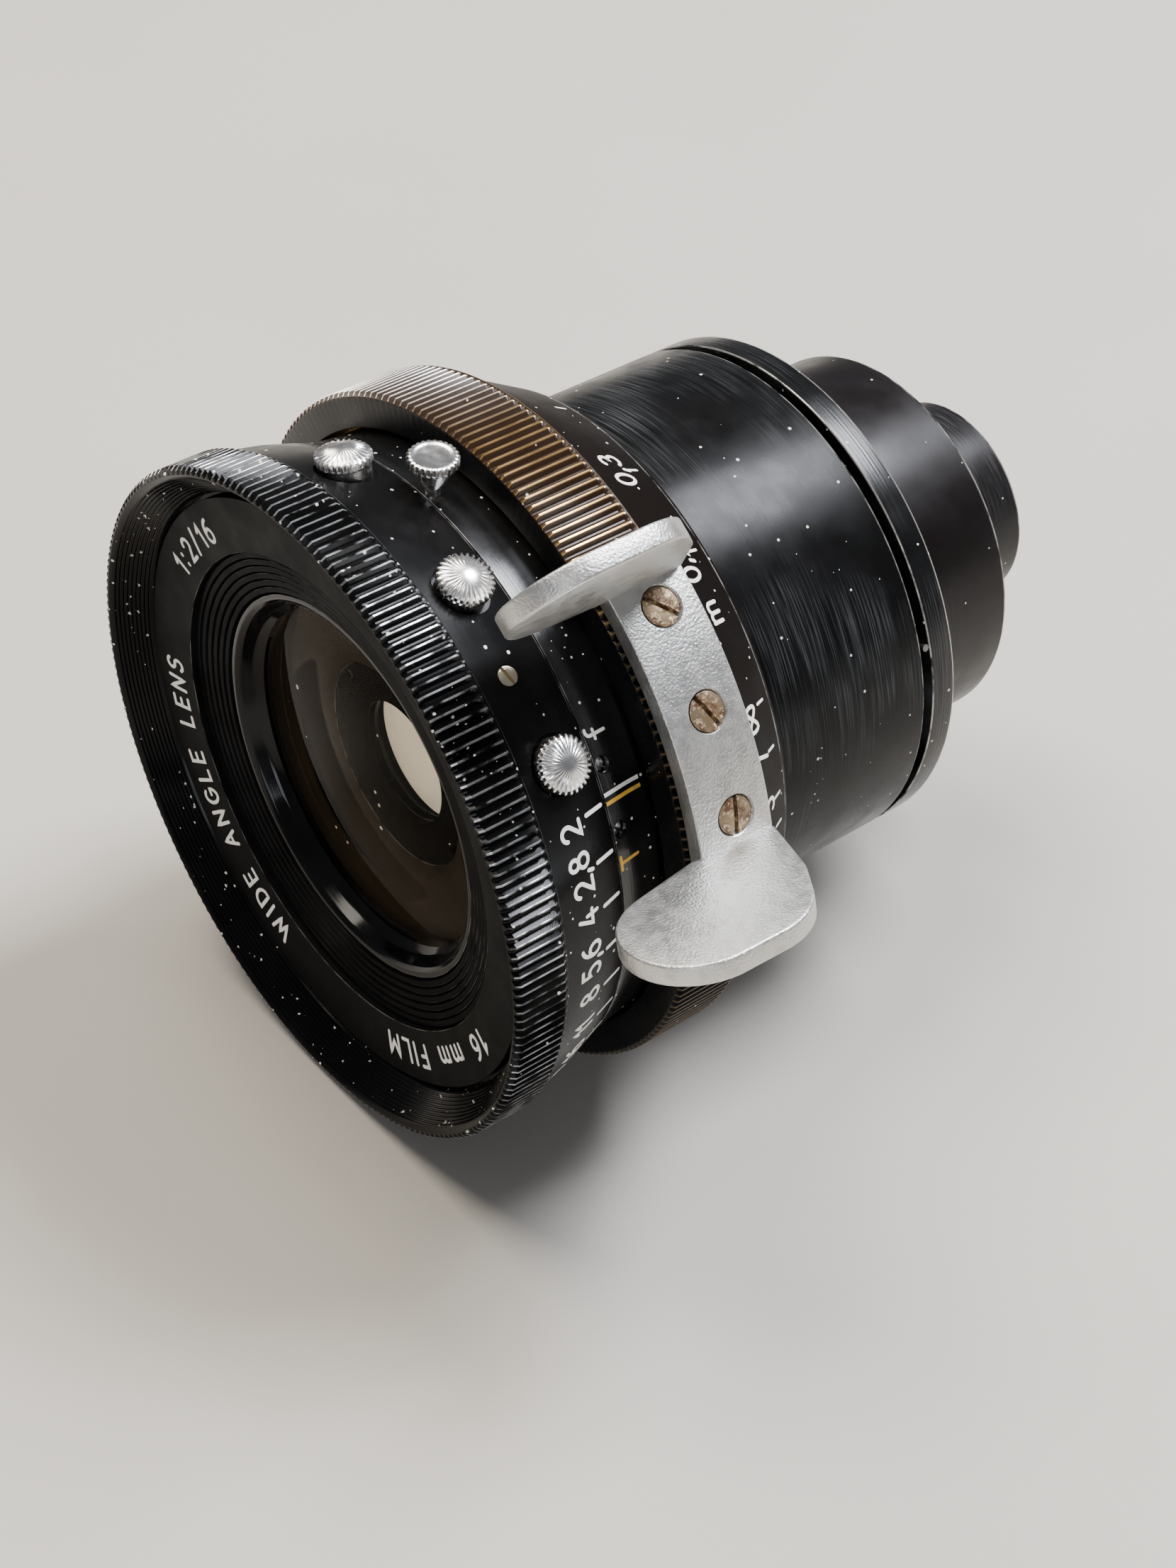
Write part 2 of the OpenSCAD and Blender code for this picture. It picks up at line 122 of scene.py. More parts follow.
class Shop:
    """The node tree of one material, with the patterns that the finishes share."""

    def __init__(self, name: str) -> None:
        """Starts an empty material called name."""
        self.material = bpy.data.materials.new(name)
        self.material.use_nodes = True
        self.tree = self.material.node_tree
        self.tree.nodes.clear()
        self.where = self.add("TexCoord", {}, "Object")

    def add(self, kind: str, inputs: dict, output: int | str = 0, **settings: object) -> Socket | None:
        """Adds a shader node with its settings and links.

        Args:
            kind: The node's type, without its ShaderNode prefix.
            inputs: A value, or another node's socket to link in, by input name or number.
            output: The output wanted, by name or number.
            settings: The node's own attributes.

        Returns:
            That output, or None for a node that has none.
        """
        node = self.tree.nodes.new("ShaderNode" + kind)
        for key, value in settings.items():
            setattr(node, key, value)
        for key, value in inputs.items():
            if isinstance(value, Socket):
                self.tree.links.new(value, node.inputs[key])
            else:
                node.inputs[key].default_value = value
        return node.outputs[output] if len(node.outputs) else None

    def clouds(self, size: float, low: float, high: float, top: float = 1.0) -> Socket:
        """Patches about size mm across, rising from 0 at noise level low to top at high."""
        noise = self.add("TexNoise", {"Vector": self.where, "Scale": 1 / (size * MM), "Detail": 4.0})
        inputs = {0: noise, 1: low, 2: high, 4: top}
        return self.add("MapRange", inputs, interpolation_type="SMOOTHSTEP")

    def patched(
        self, base: Socket | Colour, over: str, size: float, low: float, high: float, top: float = 1.0
    ) -> Socket:
        """Colours a surface and lays cloudy patches of another colour over it.

        Args:
            base: The surface's colour.
            over: The patches' colour, as sRGB hex.
            size: Size of the patches, in mm.
            low: Noise level where a patch starts.
            high: Noise level where it is full.
            top: How much a full patch hides the base.

        Returns:
            The mixed colour.
        """
        share = self.clouds(size, low, high, top)
        return self.add("Mix", {0: share, 6: base, 7: srgb(over)}, 2, data_type="RGBA")

    def uneven(self, size: float, lowest: float) -> Socket:
        """Roughness in patches about size mm across, from lowest to 0.14 above it."""
        return self.add("Math", {0: self.clouds(size, 0.2, 0.8, 0.14), 1: lowest})

    def around(self) -> tuple[Socket, Socket, Socket]:
        """Gives the station coordinate and the radius, in metres, and the angle in degrees."""
        split = self.add("SeparateXYZ", {0: self.where}).node
        flat = self.add("VectorMath", {0: self.where, 1: (1, 0, 1)}, operation="MULTIPLY")
        radius = self.add("VectorMath", {0: flat}, "Value", operation="LENGTH")
        turn = self.add("Math", {0: split.outputs[2], 1: split.outputs[0]}, operation="ARCTAN2")
        angle = self.add("Math", {0: turn, 1: math.degrees(1)}, operation="MULTIPLY")
        return split.outputs[1], radius, angle

    def rings(self, pitch: float) -> Socket:
        """Uneven turning marks, pitch mm apart, on cylinders and on faces square to the axis."""
        along, radius, _ = self.around()
        way = self.add("Math", {0: along, 1: radius}, operation="ADD")
        way = self.add("Math", {0: way, 1: 1 / (pitch * MM)}, operation="MULTIPLY")
        return self.add("TexNoise", {"W": way, "Scale": 1.0, "Detail": 2.0}, noise_dimensions="1D")

    def specks(self, spacing: float, size: float, share: float) -> Socket:
        """Round specks of dust.

        Args:
            spacing: Distance between the places where a speck may lie, in mm.
            size: Diameter of the largest speck, in mm.
            share: Share of the places that hold one, 0 to 1.

        Returns:
            1 on a speck and 0 elsewhere.
        """
        cell = self.add("TexVoronoi", {"Vector": self.where, "Scale": 1 / (spacing * MM)}).node
        draw = self.add("SeparateColor", {0: cell.outputs["Color"]}).node
        reach = self.add("Math", {0: draw.outputs[1], 1: size / 2 / spacing}, operation="MULTIPLY")
        near = self.add("Math", {0: cell.outputs["Distance"], 1: reach}, operation="LESS_THAN")
        drawn = self.add("Math", {0: draw.outputs[0], 1: share}, operation="LESS_THAN")
        return self.add("Math", {0: near, 1: drawn}, operation="MULTIPLY")

    def finish(self, **inputs: object) -> bpy.types.Material:
        """Ends the tree in a Principled shader; an underscore stands for a space in an input's name."""
        named = {key.replace("_", " "): value for key, value in inputs.items()}
        self.add("OutputMaterial", {"Surface": self.add("BsdfPrincipled", named)})
        return self.material


@dataclass(frozen=True)
class MachinedMetal:
    """Turned aluminium or brass under a black film, bright where the film has worn off.

    The film is anodising or lacquer, a dielectric: near black, with a gloss that shows the lathe's
    rings. A worn edge is bare metal, so it mirrors in the metal's own colour. Dust lies on all of it.
    """

    name: str
    colour: str = "#090909"
    faded: str = "#151516"
    bare: str = "#c4c1ba"
    roughness: float = 0.3
    specular: float = 0.4
    turning_mm: float = 0.09
    turning_depth: float = 0.004
    scuffs: float = 0.0
    scuff: str = "#74787a"
    scuff_mm: float = 0.125
    scuff_deg: float = 20.0
    dust: float = 0.0
    dust_mm: float = 0.26
    dust_spacing_mm: float = 0.55
    grit: str = "#d8d4ca"
    patch_mm: float = 1.6
    wear_low: float = 0.35
    wear_high: float = 0.7

    def film(self, shop: Shop) -> Socket:
        """Gives the film's own colour."""
        return shop.patched(srgb(self.colour), self.faded, 5.0, 0.4, 0.75, 0.6)

    def metal_colour(self, shop: Shop) -> Socket | Colour:
        """Gives the colour of the bare metal."""
        return srgb(self.bare)

    def worn(self, shop: Shop) -> Socket:
        """Gives where the film is worn through: painted wear, broken up by patches."""
        edge = shop.add("Attribute", {}, "Fac", attribute_name="wear")
        patch = shop.clouds(self.patch_mm, self.wear_low, self.wear_high)
        return shop.add("Math", {0: edge, 1: patch}, operation="MULTIPLY")

    def material(self) -> bpy.types.Material:
        """Builds the node material."""
        shop = Shop(self.name)
        bare = self.worn(shop)
        inputs = {0: bare, 6: self.film(shop), 7: self.metal_colour(shop)}
        colour = shop.add("Mix", inputs, 2, data_type="RGBA")
        rough = shop.uneven(3.0, self.roughness - 0.07)
        if self.scuffs:
            marks = self.scuff_marks(shop)
            colour = shop.add("Mix", {0: marks, 6: colour, 7: srgb(self.scuff)}, 2, data_type="RGBA")
            rough = shop.add("Math", {0: marks, 1: 0.3, 2: rough}, operation="MULTIPLY_ADD")
        if self.dust:
            grit = shop.specks(self.dust_spacing_mm, self.dust_mm, self.dust)
            colour = shop.add("Mix", {0: grit, 6: colour, 7: srgb(self.grit)}, 2, data_type="RGBA")
            rough = shop.add("Math", {0: rough, 1: grit}, operation="MAXIMUM")
            clean = shop.add("Math", {0: 1.0, 1: grit}, operation="SUBTRACT")
            bare = shop.add("Math", {0: bare, 1: clean}, operation="MULTIPLY")
        inputs = {"Height": shop.rings(self.turning_mm), "Distance": self.turning_depth * MM}
        normal = shop.add("Bump", inputs)
        return shop.finish(Base_Color=colour, Roughness=rough, Metallic=bare, Normal=normal,
                           Specular_IOR_Level=self.specular)

    def scuff_marks(self, shop: Shop) -> Socket:
        """Gives hazy scuffs of fine lines round the lens, from sliding in and out of a lens port."""
        along, _, angle = shop.around()
        across = shop.add("Math", {0: along, 1: 1 / (self.scuff_mm * MM)}, operation="MULTIPLY")
        round_lens = shop.add("Math", {0: angle, 1: 1 / self.scuff_deg}, operation="MULTIPLY")
        place = shop.add("CombineXYZ", {0: across, 1: round_lens})
        lines = shop.add("TexNoise", {"Vector": place, "Scale": 1.0, "Detail": 5.0})
        inputs = {0: lines, 1: 0.42, 2: 0.74, 4: self.scuffs}
        lines = shop.add("MapRange", inputs, interpolation_type="SMOOTHSTEP")
        return shop.add("Math", {0: lines, 1: shop.clouds(11.0, 0.42, 0.66)}, operation="MULTIPLY")


@dataclass(frozen=True)
class WornKnurl(MachinedMetal):
    """Black knurling rubbed bright along its crests: thin bright lines between dark grooves.

    On a focusing ring the film thins first to brown, so the grooves of the rubbed stretch are bronze
    and their crests go from gold to silver as the thumb's side is reached.
    """

    warm: str = "#c4c1ba"
    warm_to: float = 84.0
    silver_from: float = 112.0
    groove: str = "#090909"
    knurl_r: float = 26.32
    from_deg: float = -20.0
    to_deg: float = 150.0
    fade_deg: float = 10.0
    elsewhere: float = 0.5
    crest_low: float = 0.7

    def zone(self, shop: Shop) -> Socket:
        """Gives the rubbed stretch of the ring, 0 to 1."""
        _, _, angle = shop.around()
        fade = self.fade_deg
        rise = shop.add("MapRange", {0: angle, 1: self.from_deg - fade, 2: self.from_deg})
        fall = shop.add("MapRange", {0: angle, 1: self.to_deg + fade, 2: self.to_deg})
        return shop.add("Math", {0: rise, 1: fall}, operation="MULTIPLY")

    def film(self, shop: Shop) -> Socket:
        """Gives the film's colour, changed on the rubbed stretch of the knurling only."""
        _, radius, _ = shop.around()
        inputs = {0: radius, 1: self.knurl_r * MM, 2: (self.knurl_r + 0.1) * MM}
        knurled = shop.add("MapRange", inputs)
        share = shop.add("Math", {0: self.zone(shop), 1: knurled}, operation="MULTIPLY")
        inputs = {0: share, 6: super().film(shop), 7: srgb(self.groove)}
        return shop.add("Mix", inputs, 2, data_type="RGBA")

    def metal_colour(self, shop: Shop) -> Socket:
        """Gives the crests' colour, warm low on the ring and silver near its top."""
        _, _, angle = shop.around()
        cool = shop.add("MapRange", {0: angle, 1: self.warm_to, 2: self.silver_from})
        return shop.add("Mix", {0: cool, 6: srgb(self.warm), 7: srgb(self.bare)}, 2, data_type="RGBA")

    def worn(self, shop: Shop) -> Socket:
        """Gives the bare crests."""
        height = shop.add("Attribute", {}, "Fac", attribute_name="wear")
        inputs = {0: height, 1: self.crest_low, 2: 0.98}
        crest = shop.add("MapRange", inputs, interpolation_type="SMOOTHSTEP")
        patch = shop.clouds(self.patch_mm, self.wear_low, self.wear_high)
        strong = shop.add("Math", {0: self.zone(shop), 1: self.elsewhere}, operation="MAXIMUM")
        share = shop.add("Math", {0: patch, 1: strong}, operation="MULTIPLY")
        return shop.add("Math", {0: crest, 1: share}, operation="MULTIPLY")


@dataclass(frozen=True)
class BareMetal:
    """Bare or plated metal: it mirrors in its own colour, softened by fine lathe or blasting marks."""

    name: str
    colour: str
    roughness: float = 0.2
    grain_mm: float = 0.08
    grain_depth: float = 0.003
    stain: str = "#6e6a63"
    stain_amount: float = 0.15
    metallic: float = 1.0

    def material(self) -> bpy.types.Material:
        """Builds the node material."""
        shop = Shop(self.name)
        colour = shop.patched(srgb(self.colour), self.stain, 1.3, 0.5, 0.72, self.stain_amount)
        rough = shop.uneven(0.9, self.roughness - 0.05)
        grain = shop.add("TexNoise", {"Vector": shop.where, "Scale": 1 / (self.grain_mm * MM)})
        normal = shop.add("Bump", {"Height": grain, "Distance": self.grain_depth * MM})
        return shop.finish(Base_Color=colour, Roughness=rough, Normal=normal, Metallic=self.metallic)


@dataclass(frozen=True)
class RustySteel:
    """Old plain steel screw: brown rust in patches over dull metal, with a few rubbed bright spots."""

    name: str = "rusty_steel_screw"
    steel: str = "#9a866a"
    rust: str = "#583a22"
    light: str = "#c7b08c"

    def material(self) -> bpy.types.Material:
        """Builds the node material."""
        shop = Shop(self.name)
        rusty = shop.clouds(0.7, 0.4, 0.6)
        inputs = {0: rusty, 6: srgb(self.steel), 7: srgb(self.rust)}
        colour = shop.add("Mix", inputs, 2, data_type="RGBA")
        colour = shop.patched(colour, self.light, 0.35, 0.52, 0.66)
        metal = shop.add("MapRange", {0: rusty, 3: 0.85, 4: 0.2})
        normal = shop.add("Bump", {"Height": rusty, "Distance": 0.05 * MM})
        return shop.finish(Base_Color=colour, Metallic=metal, Normal=normal, Roughness=0.45)


@dataclass(frozen=True)
class EngravingPaint:
    """Matt oil paint wiped into engraved lines, bright with a little dirt in it."""

    name: str
    colour: str

    def material(self) -> bpy.types.Material:
        """Builds the node material."""
        shop = Shop(self.name)
        colour = shop.patched(srgb(self.colour), "#6b675c", 0.5, 0.56, 0.78, 0.4)
        return shop.finish(Base_Color=colour, Roughness=0.6)


@dataclass(frozen=True)
class CoatedGlass:
    """Coated optical glass: a warm tint and, on the outside, specks of dust.

    The coating cancels most of the reflection, so the front glass has a far lower IOR than bare glass.
    """

    name: str
    tint: str
    ior: float = 1.5
    dust: float = 0.0

    def material(self) -> bpy.types.Material:
        """Builds the node material."""
        shop = Shop(self.name)
        grit = shop.specks(1.5, 0.42, self.dust)
        colour = shop.add("Mix", {0: grit, 6: srgb(self.tint), 7: srgb("#cfcabf")}, 2, data_type="RGBA")
        clear = shop.add("Math", {0: 1.0, 1: grit}, operation="SUBTRACT")
        rough = shop.add("Math", {0: grit, 1: 0.8}, operation="MULTIPLY")
        return shop.finish(Base_Color=colour, Transmission_Weight=clear, Roughness=rough, IOR=self.ior)


@dataclass(frozen=True)
class LitGlass:
    """Painted light: a stand-in for glass with the room's light behind it, a pale, even disc that glows a
    little though it is no lamp.
    """

    name: str
    colour: str
    glow: float

    def material(self) -> bpy.types.Material:
        """Builds the node material."""
        shop = Shop(self.name)
        colour = shop.patched(srgb(self.colour), "#a8a297", 3.0, 0.4, 0.7, 0.3)
        # painted light: the pale colour glows, in place of the light that would come through the glass
        return shop.finish(
            Base_Color=colour, Emission_Color=colour, Emission_Strength=self.glow, Roughness=0.15
        )


@dataclass(frozen=True)
class FloorPaint:
    """Pale painted board, with a faint unevenness."""

    name: str = "pale_board"
    colour: str = "#b9b4ab"

    def material(self) -> bpy.types.Material:
        """Builds the node material."""
        shop = Shop(self.name)
        colour = shop.patched(srgb(self.colour), "#b0aba2", 40.0, 0.3, 0.7, 0.35)
        return shop.finish(Base_Color=colour, Roughness=0.8)


class Finish(Enum):
    """The finishes of the lens, by the name of the real one."""

    SCALE_BLACK = MachinedMetal("scale_black_anodised", roughness=0.3, specular=0.1, dust=0.16)
    DISTANCE_BLACK = MachinedMetal(
        "distance_black_anodised", colour="#120e0c", roughness=0.4, specular=0.04, dust=0.16
    )
    SLEEVE_BLACK = MachinedMetal("sleeve_black_anodised", roughness=0.2, specular=0.5, dust=0.3)
    NAME_BLACK = MachinedMetal("matt_black_paint", roughness=0.55, specular=0.08, turning_depth=0.002)
    INNER_BLACK = MachinedMetal(
        "flat_black_lacquer", colour="#050505", faded="#090908", roughness=0.8, specular=0.02
    )
    CONE_BLACK = MachinedMetal(
        "brown_black_lacquer", "#231e18", "#2c261e", roughness=0.75, specular=0.05, turning_depth=0.0
    )
    STEP_BLACK = MachinedMetal("stepped_black_lacquer", roughness=0.36, specular=0.02)
    RING_BLACK = MachinedMetal("polished_black_ring", roughness=0.12, specular=0.2)
    BARREL_BLACK = MachinedMetal(
        "gloss_black_anodised", roughness=0.28, specular=0.12, scuffs=0.25, dust=0.1, turning_depth=0.006
    )
    FLANGE_BLACK = MachinedMetal(
        "turned_black_flange", roughness=0.24, turning_mm=0.16, turning_depth=0.02, specular=0.3,
        wear_low=0.3, wear_high=0.55, dust=0.08, scuffs=0.25,
    )
    REAR_BLACK = MachinedMetal(
        "brown_black_anodised", "#100c0c", roughness=0.34, specular=0.2, dust=0.05, scuffs=0.15
    )
    FRONT_KNURL = WornKnurl(
        "front_knurl_anodised", roughness=0.2, specular=0.12, dust=0.35, dust_mm=0.286, warm="#aeb0b2",
        wear_low=0.34, wear_high=0.7, crest_low=0.86, elsewhere=0.6,
    )
    FOCUS_KNURL = WornKnurl(
        "focus_knurl_anodised", roughness=0.3, specular=0.2, dust=0.08, warm="#cfa66b",
        bare="#d5d2cd", groove="#2b1d12", from_deg=56, elsewhere=0.1, wear_low=0.1,
        wear_high=0.4, crest_low=0.78,
    )
    NICKEL = BareMetal("bright_nickel_plate", "#efedea", 0.24, 0.05, 0.002)
    BLASTED = BareMetal("blasted_aluminium", "#d0cfcb", 0.4, 0.2, 0.06, "#a19e97", 0.4, 0.95)
    BRASS = BareMetal("turned_brass", "#b8975a", 0.3, 0.1, 0.006, "#5d4423", 0.6)
    PALE_BRASS = BareMetal("worn_plated_brass", "#d9cfb4", 0.3, 0.1, 0.02, "#5d4423", 0.8)
    STEEL = BareMetal("dark_steel", "#7b7a78", 0.3, 0.1, 0.004)
    BLADE = BareMetal("blackened_blade_steel", "#2b2b2c", 0.4, 0.06, 0.001)
    RUST = RustySteel()
    WHITE = EngravingPaint("white_engraving_paint", "#f4f1e8")
    YELLOW = EngravingPaint("yellow_engraving_paint", "#e2ac35")
    FRONT_GLASS = CoatedGlass("amber_coated_glass", "#e6dbc8", 1.07, 0.14)
    CLEAR_GLASS = CoatedGlass("clear_optical_glass", "#f4f2ea")
    # painted light: a pale disc that glows in place of the room's light seen through the lens
    LIT_GLASS = LitGlass("lit_rear_glass", "#c4beb2", 1.05)
    FLOOR = FloorPaint()

    @cache
    def material(self) -> bpy.types.Material:
        """Gives this finish's material, which is built only once."""
        return self.value.material()


# ---------------------------------------------------------------- turned meshes


@dataclass(frozen=True)
class Corner:
    """A corner of a turned outline: station, radius, easing, tooth depth and worn share of its edge."""

    s: float
    r: float
    ease: float = 0.0
    tooth: float = 0.0
    wear: float = 0.0


def eased(corners: Sequence[Corner], steps: int = 4) -> list[Corner]:
    """Rounds the corners that have an easing.

    Args:
        corners: The closed outline.
        steps: Points on each rounded corner, less one.

    Returns:
        The outline with a small curve at each eased corner, worn on the curve only.
    """
    made: list[Corner] = []
    for i, c in enumerate(corners):
        if not c.ease:
            made.append(Corner(c.s, c.r, 0, c.tooth, 0))
            continue
        ends = []
        for other in (corners[i - 1], corners[(i + 1) % len(corners)]):
            way = Vector((other.s - c.s, other.r - c.r))
            ends.append(Vector((c.s, c.r)) + way.normalized() * min(c.ease, way.length * 0.45))
        middle = Vector((c.s, c.r))
        for k in range(steps + 1):
            t = k / steps
            p = ends[0] * (1 - t) ** 2 + middle * 2 * t * (1 - t) + ends[1] * t * t
            made.append(Corner(p.x, p.y, 0, c.tooth, c.wear if 0 < k < steps else 0.0))
    return made


class Spin(Enum):
    """The axis that an outline is turned about: the lens's own, or the Z of a small radial piece."""

    LENS = 1
    RADIAL = 2


@dataclass(frozen=True)
class Teeth:
    """Straight knurling: a flat crest, two flanks and a narrow root for each tooth."""

    count: int
    crest: float
    root: float

    def columns(self) -> list[tuple[float, float]]:
        """Gives (turn as a share of a circle, height 0 to 1) for each column of the mesh."""
        flank = (1 - self.crest - self.root) / 2
        one = [(0, 1), (self.crest, 1), (self.crest + flank, 0), (self.crest + flank + self.root, 0)]
        return [((k + t) / self.count, h) for k in range(self.count) for t, h in one]


def turned(
    name: str,
    corners: Sequence[Corner],
    spin: Spin = Spin.LENS,
    segments: int = 320,
    teeth: Teeth | None = None,
    sharp_deg: float = 34.0,
) -> bpy.types.Object:
    """Turns a closed outline into a solid.

    Args:
        name: The piece's name.
        corners: The outline, a closed loop.
        spin: The axis to turn about.
        segments: Columns of a plain piece.
        teeth: Knurling on the corners that have a tooth depth.
        sharp_deg: Edges above this angle stay sharp.

    Returns:
        The piece, not yet dressed.
    """
    rows = eased(corners)
    columns = teeth.columns() if teeth else [(k / segments, 1) for k in range(segments)]
    points, worn = [], []
    for row in rows:
        for turn, height in columns:
            r = row.r - row.tooth * (1 - height)
            angle = 2 * math.pi * turn
            x, y = r * math.cos(angle) * MM, r * math.sin(angle) * MM
            points.append((x, (row.s - SEAT) * MM, y) if spin is Spin.LENS else (x, y, row.s * MM))
            worn.append(max(row.wear, height if teeth and row.tooth else 0.0))
    n, m = len(columns), len(rows)
    faces = [
        (i * n + j, i * n + (j + 1) % n, (i + 1) % m * n + (j + 1) % n, (i + 1) % m * n + j)
        for i in range(m)
        for j in range(n)
    ]
    return solid(name, points, faces, worn, sharp_deg)


def solid(
    name: str,
    points: Sequence[Sequence[float]],
    faces: Sequence[Sequence[int]],
    worn: Sequence[float] | None = None,
    sharp_deg: float = 34.0,
) -> bpy.types.Object:
    """Makes a closed mesh object, with merged points and outward normals.

    Args:
        name: The piece's name.
        points: Points in metres.
        faces: Faces by point number.
        worn: The worn share of each point.
        sharp_deg: Edges above this angle stay sharp.

    Returns:
        The object, linked to the scene.
    """
    mesh = bpy.data.meshes.new(name)
    mesh.from_pydata([tuple(p) for p in points], [], faces)
    mesh.attributes.new("wear", "FLOAT", "POINT")
    mesh.attributes["wear"].data.foreach_set("value", list(worn) if worn else [0.0] * len(points))
    work = bmesh.new()
    work.from_mesh(mesh)
    bmesh.ops.remove_doubles(work, verts=work.verts, dist=2e-7)
    bmesh.ops.dissolve_degenerate(work, edges=work.edges, dist=1e-8)
    bmesh.ops.recalc_face_normals(work, faces=work.faces)
    work.to_mesh(mesh)
    work.free()
    piece = bpy.data.objects.new(name, mesh)
    bpy.context.scene.collection.objects.link(piece)
    shade(piece, sharp_deg)
    return piece


def shade(piece: bpy.types.Object, sharp_deg: float = 34.0) -> None:
    """Shades a mesh smooth, apart from edges above an angle."""
    mesh = piece.data
    mesh.polygons.foreach_set("use_smooth", [True] * len(mesh.polygons))
    mesh.set_sharp_from_angle(angle=math.radians(sharp_deg))
    mesh.update()


class Joining(Enum):
    """What a tool does to a piece."""

    CUT = "DIFFERENCE"
    WELD = "UNION"


def cut(
    piece: bpy.types.Object, tools: Iterable[bpy.types.Object], joining: Joining = Joining.CUT
) -> bpy.types.Object:
    """Cuts tools out of a piece, or welds them to it, and uses the tools up.

    Args:
        piece: The piece to work on.
        tools: Closed solids.
        joining: Whether the tools cut or weld.

    Returns:
        The piece, with its new mesh.
    """
    for tool in tools:
        modifier = piece.modifiers.new("cut", "BOOLEAN")
        modifier.operation = joining.value
        modifier.solver = "EXACT"
        modifier.object = tool
        bpy.context.view_layer.update()
        view = piece.evaluated_get(bpy.context.evaluated_depsgraph_get())
        fresh = bpy.data.meshes.new_from_object(view)
        piece.modifiers.clear()
        piece.data = fresh
        bpy.data.objects.remove(tool)
    shade(piece)
    return piece


def drill(
    name: str, angle: float, s: float, r: float, low: float, high: float, top: float | None = None
) -> bpy.types.Object:
    """Makes a round cutting tool on a radius of the lens.

    Args:
        name: The tool's name.
        angle: Angle of the hole, in degrees.
        s: Station of the hole.
        r: Radius of the hole.
        low: Radius from the axis where the hole ends inside.
        high: Radius from the axis where it ends outside.
        top: Radius of the hole's outer end, if it is countersunk.

    Returns:
        The tool.
    """
    wide = r if top is None else top
    corners = [Corner(low, 0), Corner(low, r), Corner(high, wide), Corner(high, 0)]
    tool = turned(name, corners, Spin.RADIAL, 48)
    tool.data.transform(radial_frame(angle, s))
    return tool


def slot_tool(width: float, top: float, depth: float, turn: float) -> bpy.types.Object:
    """Makes a blade that cuts a screwdriver slot, in a screw's own axes."""
    half, reach = width / 2, 4.0
    corners = [(x, y, z) for z in (top - depth, top + 1) for y in (-half, half) for x in (-reach, reach)]
    faces = [(0, 1, 3, 2), (4, 5, 7, 6), (0, 1, 5, 4), (2, 3, 7, 6), (0, 2, 6, 4), (1, 3, 7, 5)]
    tool = solid("slot_tool", [Vector(c) * MM for c in corners], faces)
    tool.data.transform(Matrix.Rotation(math.radians(turn), 4, "Z"))
    return tool


def dress(piece: bpy.types.Object, body: str, finish: Finish, slot: str, *nodes: str) -> bpy.types.Object:
    """Gives a finished piece its material, its body and the CAD nodes that it stands for.

    Args:
        piece: The piece.
        body: The CAD body that it rides on.
        finish: Its finish.
        slot: The record's material slot; not used.
        nodes: CAD nodes that it replaces.

    Returns:
        The piece.
    """
    piece.data.materials.clear()
    piece.data.materials.append(finish.material())
    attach(piece, body)
    if nodes:
        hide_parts(*nodes)
    LOG.info("%s: %d faces, rides on %s", piece.name, len(piece.data.polygons), body)
    return piece


def keep(node: str, finish: Finish) -> None:
    """Keeps a CAD node as it is and gives it a finish."""
    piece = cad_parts[node]
    piece.data.materials.clear()
    piece.data.materials.append(finish.material())
    LOG.info("%s: kept from the frame", node)


# ---------------------------------------------------------------- engraving


def arc(
    cx: float, cy: float, rx: float, ry: float, start: float, end: float, steps: int = 14
) -> list[Point]:
    """Gives points on an ellipse from one angle to another, in degrees."""
    turns = [math.radians(start + (end - start) * k / steps) for k in range(steps + 1)]
    return [(cx + rx * math.cos(t), cy + ry * math.sin(t)) for t in turns]


